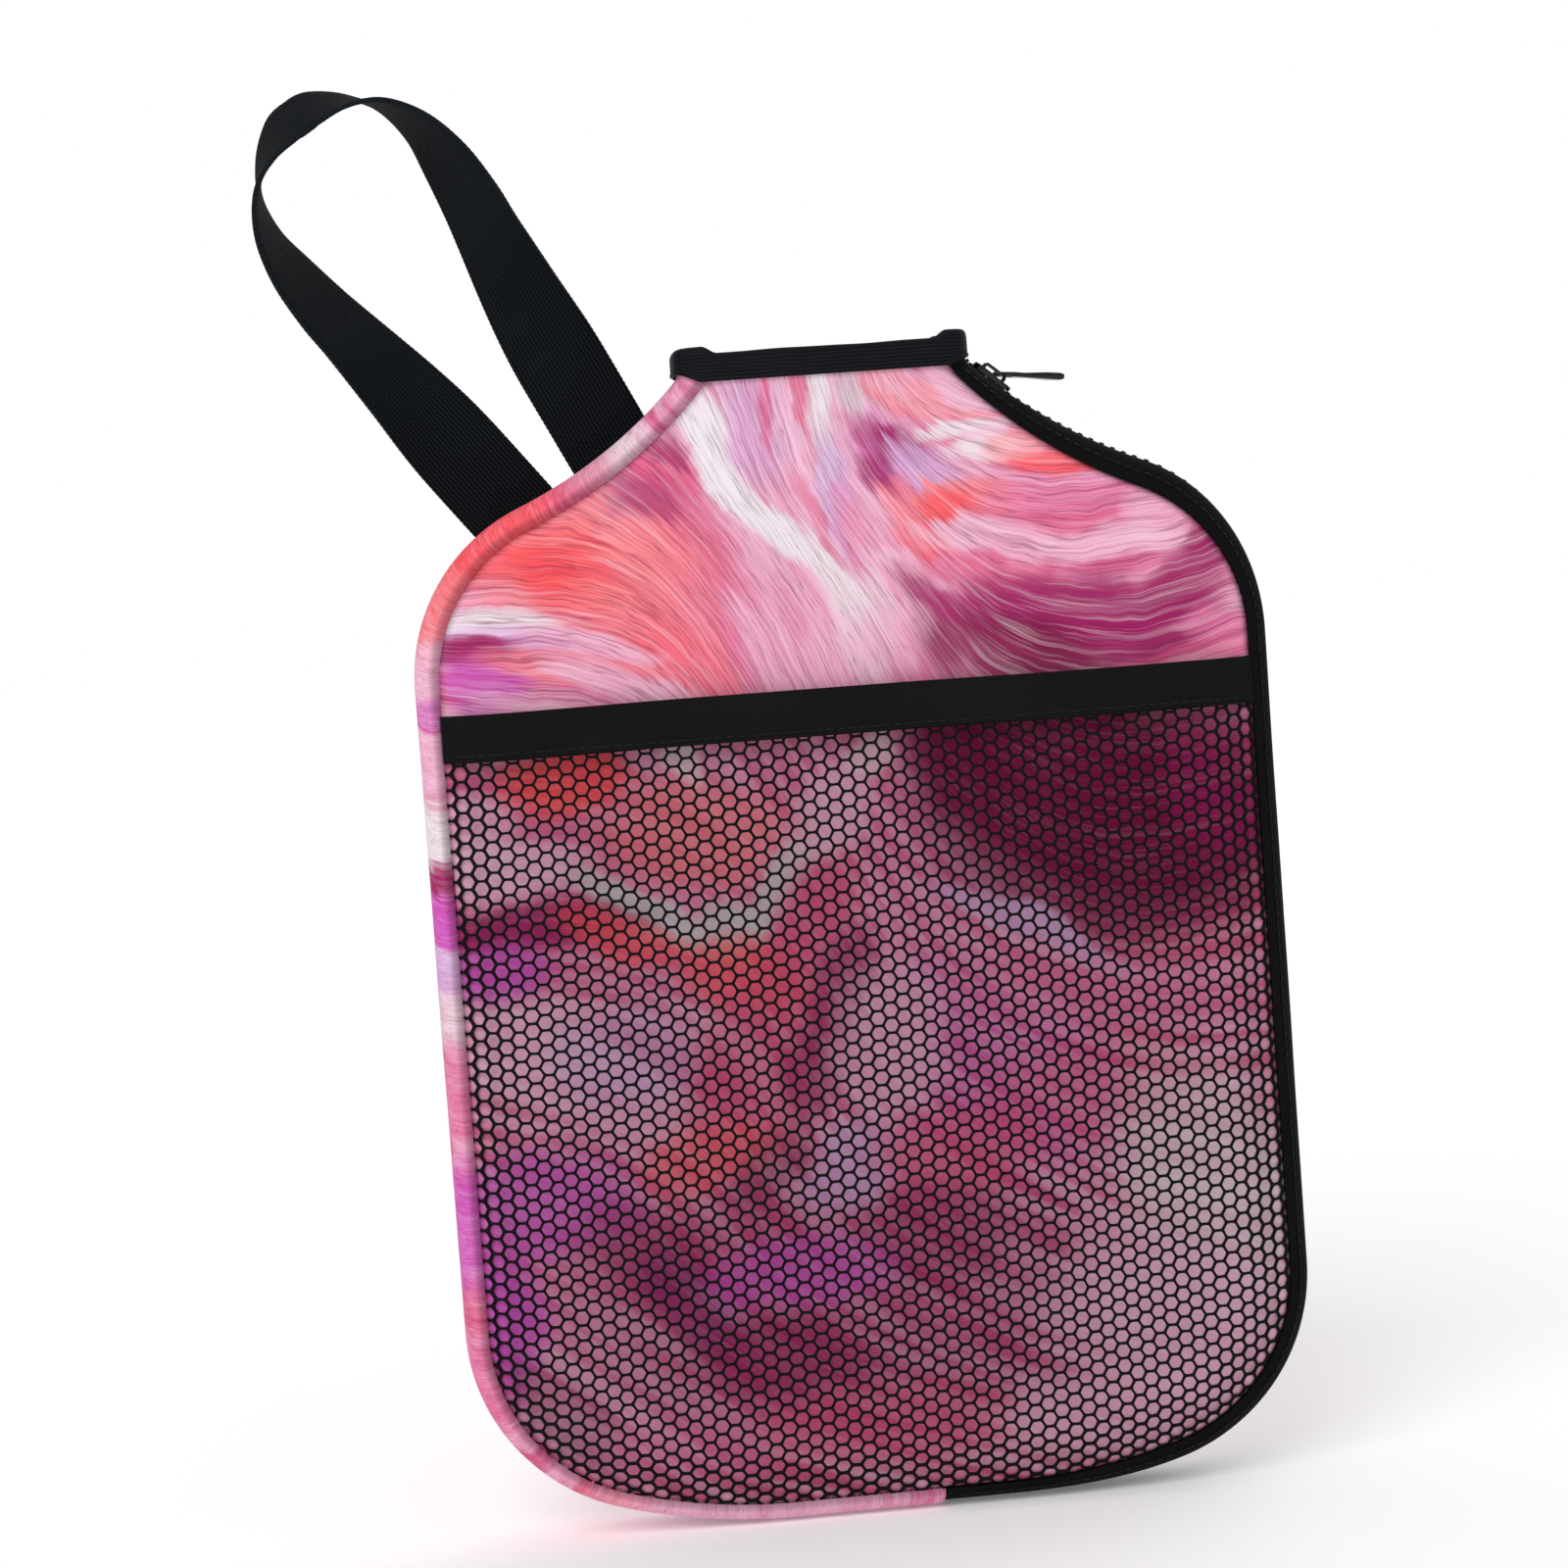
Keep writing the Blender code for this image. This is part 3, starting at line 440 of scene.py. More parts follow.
@dataclass
class Wire:
    """An output socket that adds, multiplies and compares like a number or a colour."""

    sheet: Recipe
    socket: bpy.types.NodeSocket

    def _math(self, operation: str, *others: Wire | float) -> Wire:
        """One Math node with this wire as its first input."""
        return self.sheet.math(operation, self, *others)

    def __add__(self, other: Wire | float) -> Wire:
        """This plus other."""
        return self._math("ADD", other)

    def __radd__(self, other: float) -> Wire:
        """Other plus this."""
        return self._math("ADD", other)

    def __sub__(self, other: Wire | float) -> Wire:
        """This minus other."""
        return self._math("SUBTRACT", other)

    def __rsub__(self, other: float) -> Wire:
        """Other minus this."""
        return self.sheet.math("SUBTRACT", other, self)

    def __mul__(self, other: Wire | float) -> Wire:
        """This times other."""
        return self._math("MULTIPLY", other)

    def __rmul__(self, other: float) -> Wire:
        """Other times this."""
        return self._math("MULTIPLY", other)

    def __truediv__(self, other: Wire | float) -> Wire:
        """This over other."""
        return self._math("DIVIDE", other)

    def __rtruediv__(self, other: float) -> Wire:
        """Other over this."""
        return self.sheet.math("DIVIDE", other, self)

    def sin(self) -> Wire:
        """Sine of this."""
        return self._math("SINE")

    def abs(self) -> Wire:
        """This without its sign."""
        return self._math("ABSOLUTE")

    def floor(self) -> Wire:
        """The whole number below this."""
        return self._math("FLOOR")

    def ramp(self, low: float, high: float) -> Wire:
        """Smooth step from 0 at low to 1 at high, where low may be the larger.

        Args:
            low: Value that gives 0.
            high: Value that gives 1.

        Returns:
            The eased share.
        """
        swap = low > high
        step = self.sheet.node("ShaderNodeMapRange", {
            "Value": self, "From Min": min(low, high), "From Max": max(low, high),
            "To Min": 1.0 if swap else 0.0, "To Max": 0.0 if swap else 1.0,
        }, interpolation_type="SMOOTHSTEP")
        return Wire(self.sheet, step.outputs["Result"])


class Recipe:
    """A material's nodes, made one by one and joined by name."""

    def __init__(self, name: str) -> None:
        """Start an empty material with its shader.

        Args:
            name: The material's name.
        """
        self.material = bpy.data.materials.new(name)
        self.material.use_nodes = True
        self.tree = self.material.node_tree
        self.shader = self.tree.nodes["Principled BSDF"]
        self.places = self.node("ShaderNodeTexCoord").outputs["Object"]

    def node(self, kind: str, inputs: dict | None = None, **settings: object) -> bpy.types.Node:
        """Make a node and join its inputs.

        Args:
            kind: The node's type.
            inputs: Wires or plain values by the input's name or number.
            **settings: The node's own settings.

        Returns:
            The new node.
        """
        made = self.tree.nodes.new(kind)
        for key, value in settings.items():
            setattr(made, key, value)
        for key, value in (inputs or {}).items():
            self.join(made.inputs[key], value)
        return made

    def join(self, target: bpy.types.NodeSocket, value: object) -> None:
        """Link a wire, or set a plain value, on an input."""
        if isinstance(value, Wire):
            self.tree.links.new(value.socket, target)
        elif isinstance(value, bpy.types.NodeSocket):
            self.tree.links.new(value, target)
        else:
            target.default_value = value

    def math(self, operation: str, *values: Wire | float) -> Wire:
        """A Math node on up to three values."""
        made = self.node("ShaderNodeMath", dict(enumerate(values)), operation=operation)
        return Wire(self, made.outputs[0])

    def vector(self, operation: str, *values: object) -> Wire:
        """A Vector Math node on up to two vectors."""
        made = self.node("ShaderNodeVectorMath", dict(enumerate(values)), operation=operation)
        return Wire(self, made.outputs["Value" if operation == "DOT_PRODUCT" else "Vector"])

    def scaled(self, vector: object, scale: Wire | float) -> Wire:
        """A vector times a number."""
        made = self.node("ShaderNodeVectorMath", {0: vector, "Scale": scale}, operation="SCALE")
        return Wire(self, made.outputs["Vector"])

    def map(self, name: str) -> tuple[Wire, Wire]:
        """The two numbers of a piece's own UV map."""
        uv = self.node("ShaderNodeUVMap", uv_map=name)
        parts = self.node("ShaderNodeSeparateXYZ", {0: uv.outputs["UV"]})
        return Wire(self, parts.outputs["X"]), Wire(self, parts.outputs["Y"])

    def place(self) -> tuple[Wire, Wire, Wire]:
        """The place on the object, in metres."""
        parts = self.node("ShaderNodeSeparateXYZ", {0: self.places})
        return tuple(Wire(self, parts.outputs[k]) for k in "XYZ")

    def joined(self, x: Wire | float, y: Wire | float, z: Wire | float = 0.0) -> Wire:
        """A vector of three numbers."""
        return Wire(self, self.node("ShaderNodeCombineXYZ", {0: x, 1: y, 2: z}).outputs[0])

    def noise(self, vector: object, scale: float = 1.0, detail: float = 2.0,
              rough: float = 0.5) -> Wire:
        """Smooth noise from about 0.2 to 0.8 at a place."""
        made = self.node("ShaderNodeTexNoise", {
            "Vector": vector, "Scale": scale, "Detail": detail, "Roughness": rough})
        return Wire(self, made.outputs["Fac"])

    def mix(self, share: Wire | float, first: object, second: object) -> Wire:
        """A colour between two."""
        made = self.node("ShaderNodeMix", data_type="RGBA")
        self.join(made.inputs[0], share)
        self.join(made.inputs[6], first)
        self.join(made.inputs[7], second)
        return Wire(self, made.outputs[2])

    def bump(self, height: Wire, distance: float, strength: float = 1.0,
             under: Wire | None = None) -> Wire:
        """A surface raised by a height, over another bump where one is given."""
        inputs = {"Height": height, "Distance": distance, "Strength": strength}
        if under is not None:
            inputs["Normal"] = under
        return Wire(self, self.node("ShaderNodeBump", inputs).outputs["Normal"])

    def done(self, colour: object, rough: Wire | float, normal: Wire | None = None,
             **fixed: float) -> bpy.types.Material:
        """Join the finish to the shader.

        Args:
            colour: A wire or a plain colour.
            rough: Roughness.
            normal: The bumped surface.
            **fixed: Numbers for the shader's other sockets, with _ for a space.

        Returns:
            The finished material.
        """
        self.join(self.shader.inputs["Base Color"], colour)
        self.join(self.shader.inputs["Roughness"], rough)
        if normal is not None:
            self.join(self.shader.inputs["Normal"], normal)
        for key, value in fixed.items():
            self.shader.inputs[key.replace("_", " ")].default_value = value
        return self.material


def dye(red: int, green: int, blue: int) -> tuple[float, float, float, float]:
    """A colour as a maker's chart gives it, 0 to 255, turned to light."""
    parts = [c / 255 for c in (red, green, blue)]
    return (*[c / 12.92 if c <= 0.04045 else ((c + 0.055) / 1.055) ** 2.4 for c in parts], 1.0)


# ------------------------------------------------------------------ the print

class Ink(Enum):
    """The inks of the marbled print."""

    CORAL = (250, 84, 88)
    SALMON = (248, 128, 132)
    ROSE = (222, 84, 128)
    PINK = (228, 122, 166)
    PALE = (242, 190, 214)
    WHITE = (238, 230, 236)
    GREY = (206, 200, 206)
    LAVENDER = (216, 176, 222)
    ORCHID = (206, 84, 190)
    MAGENTA = (158, 24, 96)
    MAROON = (122, 10, 66)
    PLUM = (120, 30, 104)

    @property
    def light(self) -> tuple[float, float, float, float]:
        """The ink as light."""
        return dye(*self.value)


@dataclass(frozen=True)
class Patch:
    """A pool of one ink: where it lies, how far it reaches and how it is turned."""

    ink: Ink
    x: float
    z: float
    long: float
    wide: float
    angle: float = 0.0
    strength: float = 0.85

    @property
    def rise(self) -> float:
        """How far the pool reaches up and down from its middle."""
        turn = math.radians(self.angle)
        return 1.2 * math.hypot(self.long * math.sin(turn), self.wide * math.cos(turn))


FACE_PATCHES = (
    Patch(Ink.PALE, -20, 270, 60, 60, -70, 0.5),
    Patch(Ink.ROSE, -40, 262, 34, 13, -66, 0.75),
    Patch(Ink.PINK, -30, 245, 26, 10, -62, 0.6),
    Patch(Ink.SALMON, -68, 260, 40, 22, -16, 0.85),
    Patch(Ink.CORAL, -76, 265, 17, 10, 0, 0.95),
    Patch(Ink.CORAL, -72, 257, 16, 7, -6, 0.7),
    Patch(Ink.CORAL, -96, 268, 14, 8, 30, 0.5),
    Patch(Ink.SALMON, -50, 240, 30, 14, -46, 0.85),
    Patch(Ink.CORAL, -43, 232, 22, 9, -56, 0.6),
    Patch(Ink.MAGENTA, -55, 280, 13, 7, -20, 0.6),
    Patch(Ink.ROSE, -48, 289, 15, 6, -36, 0.8),
    Patch(Ink.MAGENTA, -44, 291, 8, 4, -36, 0.7),
    Patch(Ink.SALMON, -68, 276, 12, 6, 30, 0.5),
    Patch(Ink.LAVENDER, -22, 296, 16, 12, -80, 0.55),
    Patch(Ink.WHITE, -36, 300, 13, 6, -50, 0.9),
    Patch(Ink.WHITE, -32, 289, 14, 5, -80, 0.95),
    Patch(Ink.WHITE, -27, 279, 14, 5, -66, 0.95),
    Patch(Ink.WHITE, -20, 270, 14, 4.5, -50, 0.95),
    Patch(Ink.WHITE, -10, 262, 15, 4.5, -42, 0.9),
    Patch(Ink.WHITE, -1, 252, 14, 5, -60, 0.8),
    Patch(Ink.WHITE, 3, 240, 17, 6, -80, 0.65),
    Patch(Ink.PALE, -6, 231, 14, 7, -80, 0.7),
    Patch(Ink.PALE, -21, 236, 20, 7, -64, 0.7),
    Patch(Ink.ROSE, -18, 301, 12, 2.2, -86, 0.7),
    Patch(Ink.PALE, -12, 296, 15, 4, -84, 0.6),
    Patch(Ink.ROSE, -7, 300, 12, 2.6, -85, 0.75),
    Patch(Ink.WHITE, -2, 304, 12, 3.2, -86, 0.9),
    Patch(Ink.WHITE, -4, 288, 14, 3, -88, 0.7),
    Patch(Ink.LAVENDER, -1, 277, 17, 5, -76, 0.7),
    Patch(Ink.ROSE, -6, 270, 15, 2.4, -62, 0.5),
    Patch(Ink.PINK, 6, 264, 16, 4, -64, 0.6),
    Patch(Ink.WHITE, 9, 248, 12, 4, -82, 0.5),
    Patch(Ink.GREY, 7, 304, 8, 5, -80, 0.7),
    Patch(Ink.CORAL, 14, 306, 6, 5, -40, 0.75),
    Patch(Ink.PALE, 32, 302, 26, 7, -14, 0.8),
    Patch(Ink.SALMON, 30, 297, 22, 3.4, -14, 0.55),
    Patch(Ink.SALMON, 24, 304, 8, 3, -30, 0.5),
    Patch(Ink.ORCHID, 15, 284, 15, 9, -50, 0.5),
    Patch(Ink.MAGENTA, 10, 290, 9, 4.5, -50, 0.6),
    Patch(Ink.MAGENTA, 18, 287, 9, 5, -34, 0.9),
    Patch(Ink.MAGENTA, 11, 280, 8, 5, -50, 0.8),
    Patch(Ink.LAVENDER, 23, 281, 11, 6, -30, 0.7),
    Patch(Ink.WHITE, 35, 291, 16, 3.4, 2, 0.75),
    Patch(Ink.WHITE, 43, 284, 14, 4.2, 0, 0.85),
    Patch(Ink.PALE, 48, 290, 12, 4, 24, 0.5),
    Patch(Ink.CORAL, 60, 280, 16, 4.5, 0, 0.9),
    Patch(Ink.SALMON, 50, 285, 12, 4, 20, 0.6),
    Patch(Ink.SALMON, 36, 271, 18, 5.5, -6, 0.85),
    Patch(Ink.CORAL, 28, 271, 8, 4.5, -10, 0.85),
    Patch(Ink.CORAL, 22, 263, 9, 5.5, -40, 0.75),
    Patch(Ink.SALMON, 18, 272, 8, 6, -60, 0.6),
    Patch(Ink.PINK, 66, 269, 30, 8, 0, 0.8),
    Patch(Ink.ROSE, 62, 263, 26, 4, 0, 0.5),
    Patch(Ink.PALE, 36, 262, 20, 5, -10, 0.7),
    Patch(Ink.PALE, 70, 258, 26, 4.5, 4, 0.7),
    Patch(Ink.PALE, 88, 264, 9, 13, 44, 0.55),
    Patch(Ink.PALE, 20, 255, 18, 4, -26, 0.6),
    Patch(Ink.ROSE, 42, 251, 24, 5.5, -14, 0.7),
    Patch(Ink.MAGENTA, 60, 240, 42, 11, -2, 0.96),
    Patch(Ink.MAGENTA, 95, 249, 18, 8, 40, 0.85),
    Patch(Ink.MAGENTA, 100, 258, 9, 5, 56, 0.7),
    Patch(Ink.MAROON, 46, 232, 28, 9, -10, 0.9),
    Patch(Ink.MAGENTA, 85, 236, 24, 11, 8, 0.9),
    Patch(Ink.MAROON, 24, 235, 13, 6, -74, 0.9),
    Patch(Ink.MAGENTA, 23, 247, 13, 4.5, -48, 0.85),
    Patch(Ink.PINK, 105, 231, 8, 13, 60, 0.75),
    Patch(Ink.ROSE, 92, 227, 22, 4, 8, 0.5),
    Patch(Ink.PALE, 12, 238, 9, 13, -85, 0.55),
    Patch(Ink.WHITE, -96, 248, 22, 4, -3, 0.9),
    Patch(Ink.LAVENDER, -88, 243, 24, 3.4, -8, 0.75),
    Patch(Ink.MAGENTA, -101, 241, 11, 4.5, -8, 0.95),
    Patch(Ink.ORCHID, -98, 232, 13, 7.5, -20, 0.85),
    Patch(Ink.PALE, -70, 241, 22, 3.4, -12, 0.85),
    Patch(Ink.SALMON, -75, 234, 26, 4.4, -12, 0.8),
    Patch(Ink.PALE, -60, 229, 26, 4.4, -20, 0.85),
    Patch(Ink.PALE, -84, 226, 18, 3, -10, 0.6),
    Patch(Ink.PINK, -30, 195, 90, 60, 0, 0.35),
    Patch(Ink.MAGENTA, -10, 60, 80, 42, -8, 0.42),
    Patch(Ink.ORCHID, 30, 120, 42, 30, -30, 0.35),
    Patch(Ink.CORAL, -78, 206, 18, 10, 0, 0.95),
    Patch(Ink.PALE, -98, 184, 26, 9, 0, 0.85),
    Patch(Ink.PALE, -105, 196, 14, 8, 0, 0.6),
    Patch(Ink.SALMON, -44, 189, 28, 15, -8, 0.7),
    Patch(Ink.GREY, -58, 168, 26, 6, -32, 0.9),
    Patch(Ink.GREY, -37, 163, 10, 9, 0, 0.85),
    Patch(Ink.GREY, -22, 173, 16, 6, 56, 0.8),
    Patch(Ink.PALE, -8, 192, 16, 10, 60, 0.7),
    Patch(Ink.WHITE, -46, 207, 8, 5, -50, 0.6),
    Patch(Ink.WHITE, 4, 206, 7, 6, 0, 0.5),
    Patch(Ink.MAGENTA, -92, 168, 34, 7, 0, 0.9),
    Patch(Ink.CORAL, -66, 163, 20, 7, -22, 0.7),
    Patch(Ink.CORAL, -34, 149, 20, 12, -20, 0.75),
    Patch(Ink.ROSE, -16, 162, 22, 10, 58, 0.75),
    Patch(Ink.ROSE, -32, 125, 26, 18, 60, 0.6),
    Patch(Ink.MAGENTA, -8, 143, 20, 9, 64, 0.7),
    Patch(Ink.MAGENTA, -17, 121, 16, 10, 70, 0.65),
    Patch(Ink.CORAL, -48, 102, 20, 10, 10, 0.6),
    Patch(Ink.MAROON, -31, 97, 14, 9, 50, 0.4),
    Patch(Ink.ORCHID, -100, 156, 16, 9, 0, 0.85),
    Patch(Ink.PALE, -94, 134, 24, 17, 0, 0.7),
    Patch(Ink.LAVENDER, -68, 130, 22, 15, 0, 0.5),
    Patch(Ink.PALE, 4, 128, 17, 22, 0, 0.6),
    Patch(Ink.MAROON, 58, 190, 48, 37, -30, 0.98),
    Patch(Ink.MAROON, 84, 182, 38, 30, -8, 0.95),
    Patch(Ink.MAROON, 30, 203, 19, 17, -50, 0.95),
    Patch(Ink.MAGENTA, 100, 194, 18, 26, 0, 0.6),
    Patch(Ink.LAVENDER, 45, 157, 36, 4.5, -28, 0.7),
    Patch(Ink.PINK, 62, 138, 44, 12, -8, 0.6),
    Patch(Ink.LAVENDER, -8, 95, 16, 12, 40, 0.7),
    Patch(Ink.ROSE, 20, 96, 24, 15, 0, 0.7),
    Patch(Ink.MAGENTA, 13, 75, 20, 15, 0, 0.55),
    Patch(Ink.ROSE, 60, 112, 32, 16, 0, 0.45),
    Patch(Ink.ORCHID, -92, 92, 26, 16, 0, 0.8),
    Patch(Ink.MAGENTA, -66, 78, 20, 13, -30, 0.6),
    Patch(Ink.PLUM, -54, 62, 22, 10, -48, 0.5),
    Patch(Ink.ORCHID, -106, 62, 14, 22, 0, 0.95),
    Patch(Ink.ORCHID, -24, 68, 26, 11, 0, 0.7),
    Patch(Ink.MAGENTA, -30, 45, 26, 12, -10, 0.75),
    Patch(Ink.MAROON, -94, 36, 24, 13, -40, 0.4),
    Patch(Ink.WHITE, 92, 78, 42, 26, -64, 0.6),
    Patch(Ink.PALE, 80, 45, 42, 24, -10, 0.8),
    Patch(Ink.PALE, 62, 22, 40, 14, 0, 0.7),
    Patch(Ink.PALE, 70, 62, 24, 18, -20, 0.5),
    Patch(Ink.ROSE, -6, 25, 36, 13, 0, 0.6),
    Patch(Ink.PINK, -60, 22, 30, 12, 0, 0.5),
)

EDGE_PATCHES = (
    Patch(Ink.WHITE, -62, 292, 14, 10, 30, 0.7),
    Patch(Ink.ROSE, -70, 284, 14, 9, 30, 0.6),
    Patch(Ink.CORAL, -92, 268, 24, 20, 40, 0.9),
    Patch(Ink.SALMON, -108, 252, 14, 12, 60, 0.8),
    Patch(Ink.PALE, -114, 236, 40, 9, 0, 0.8),
    Patch(Ink.ORCHID, -114, 226, 40, 4, 0, 0.6),
    Patch(Ink.PALE, -114, 213, 40, 10, 0, 0.75),
    Patch(Ink.WHITE, -114, 193, 40, 10, 0, 0.9),
    Patch(Ink.MAGENTA, -114, 180, 40, 6, 0, 0.95),
    Patch(Ink.ORCHID, -114, 170, 40, 7, 0, 0.9),
    Patch(Ink.LAVENDER, -114, 156, 40, 8, 0, 0.85),
    Patch(Ink.WHITE, -114, 143, 40, 7, 0, 0.6),
    Patch(Ink.PINK, -114, 124, 40, 13, 0, 0.7),
    Patch(Ink.ORCHID, -112, 88, 40, 18, 0, 0.8),
    Patch(Ink.ROSE, -112, 66, 40, 7, 0, 0.6),
    Patch(Ink.PINK, -100, 44, 30, 16, 0, 0.7),
    Patch(Ink.PALE, -50, 2, 50, 16, 0, 0.75),
    Patch(Ink.SALMON, -78, 14, 14, 8, 0, 0.4),
)

# Strokes that the brush followed: X, Z and the angle above the level, in mm and degrees
STROKES = (
    (-106, 248, 0), (-85, 249, -3), (-70, 246, -9), (-55, 243, -26), (-45, 238, -46),
    (-38, 231, -60), (-90, 262, 4), (-73, 268, -4), (-60, 272, -28), (-52, 283, -46),
    (-48, 270, -60), (-42, 256, -69), (-35, 244, -74), (-28, 234, -77), (-104, 234, -12),
    (-80, 233, -14), (-60, 228, -24), (-34, 303, -60), (-30, 288, -74), (-24, 276, -62),
    (-14, 265, -50), (-5, 254, -56), (3, 241, -70), (7, 229, -80), (-18, 304, -92),
    (-14, 292, -96), (-8, 280, -72), (2, 268, -64), (8, 254, -70), (2, 306, -90),
    (4, 294, -84), (-12, 240, -72), (-14, 228, -80), (13, 306, -70), (22, 303, -26),
    (34, 300, -14), (50, 294, -8), (14, 284, -66), (22, 288, -34), (36, 284, -12),
    (56, 281, 2), (74, 273, 8), (88, 264, 14), (15, 266, -58), (26, 266, -34),
    (42, 263, -14), (62, 264, 2), (82, 260, 10), (98, 254, 20), (18, 250, -62),
    (28, 246, -38), (44, 243, -20), (64, 242, -4), (86, 244, 8), (104, 242, 18),
    (21, 235, -70), (32, 230, -48), (50, 229, -24), (72, 229, -6), (96, 230, 12),
    (-79, 204, -10), (-50, 205, -32), (-30, 205, -60), (-100, 188, 4), (-70, 178, -14),
    (-45, 160, -36), (-27, 136, -55), (-20, 112, -74), (-100, 168, 2), (12, 208, -62),
    (25, 178, -50), (55, 156, -22), (88, 151, 10), (42, 190, -36), (80, 190, 2),
    (105, 200, 12), (60, 214, -14), (-4, 180, -66), (0, 150, -58), (34, 136, -34),
    (70, 128, -16), (100, 125, 0), (-60, 140, -24), (-96, 150, -4), (-60, 108, -38),
    (-96, 108, -22), (-30, 84, -50), (4, 98, -46), (42, 88, -34), (84, 78, -24),
    (4, 50, -34), (-60, 58, -36), (60, 38, -22), (-92, 50, -36), (0, 22, -14),
)


class Brush:
    """The field of strokes: which way the print's hairs run and which hair a place is on."""

    pitch = 4.0
    reach = 13.0
    evenness = 0.06

    def __init__(self) -> None:
        """Spread the strokes over a grid and number the hairs across them."""
        self.xs = np.arange(-128.0, 129.0, self.pitch)
        self.zs = np.arange(-8.0, 333.0, self.pitch)
        x, z = np.meshgrid(self.xs, self.zs, indexing="ij")
        marks = np.array(STROKES, float)
        gap = (x[..., None] - marks[:, 0]) ** 2 + (z[..., None] - marks[:, 1]) ** 2
        weight = np.exp(-gap / (2 * self.reach ** 2)) + 40.0 / (gap + 400.0) ** 1.5
        double = np.radians(marks[:, 2]) * 2
        turn = np.arctan2((weight * np.sin(double)).sum(-1), (weight * np.cos(double)).sum(-1)) / 2
        turn = np.where(turn > math.radians(60), turn - math.pi, turn)
        self.step = np.stack([np.cos(turn), np.sin(turn)], -1)
        self.hair = self._number(self.step)

    def _number(self, step: Array) -> Array:
        """Numbers that change across the strokes and stay along them, by least squares."""
        shape = step.shape[:2]
        dx, dz = step[..., 0], step[..., 1]

        def slopes(f: Array) -> tuple[Array, Array]:
            """Slopes of a field along X and Z."""
            a, b = np.zeros(shape), np.zeros(shape)
            a[:-1] = np.diff(f, axis=0)
            b[:, :-1] = np.diff(f, axis=1)
            return a, b

        def gather(a: Array, b: Array) -> Array:
            """The transpose of slopes."""
            f = np.zeros(shape)
            f[1:] += a[:-1]
            f[:-1] -= a[:-1]
            f[:, 1:] += b[:, :-1]
            f[:, :-1] -= b[:, :-1]
            return f

        def pull(f: Array) -> Array:
            """The least-squares operator on a field."""
            a, b = slopes(f)
            along = a * dx + b * dz
            across = self.evenness * (b * dx - a * dz)
            return gather(along * dx - across * dz, along * dz + across * dx) + 1e-7 * f

        aim = self.evenness * self.pitch * np.ones(shape)
        target = gather(-aim * dz, aim * dx)
        found = np.zeros(shape)
        rest = target - pull(found)
        way = rest.copy()
        size = (rest ** 2).sum()
        for _ in range(1500):
            pulled = pull(way)
            share = size / (way * pulled).sum()
            found += share * way
            rest -= share * pulled
            fresh = (rest ** 2).sum()
            if fresh < 1e-10 * (target ** 2).sum():
                break
            way = rest + fresh / size * way
            size = fresh
        return found

    def read(self, field_: Array, x: Array, z: Array) -> Array:
        """A grid field at places given in metres, between its nearest four knots."""
        u = np.clip((x / MM - self.xs[0]) / self.pitch, 0, len(self.xs) - 1.001)
        v = np.clip((z / MM - self.zs[0]) / self.pitch, 0, len(self.zs) - 1.001)
        i, j = u.astype(int), v.astype(int)
        fu, fv = u - i, v - j
        if field_.ndim == 3:
            fu, fv = fu[..., None], fv[..., None]
        return ((1 - fu) * (1 - fv) * field_[i, j] + fu * (1 - fv) * field_[i + 1, j]
                + (1 - fu) * fv * field_[i, j + 1] + fu * fv * field_[i + 1, j + 1])

    def maps(self, x: Array, z: Array) -> dict[str, Array]:
        """UV maps for a face: the hair's number in centimetres, and the stroke's step."""
        hair = self.read(self.hair, x, z) / 10.0
        step = self.read(self.step, x, z)
        return {"hair": np.stack([hair, (x * 0.6 - z) / MM / 100.0], -1), "stroke": step}


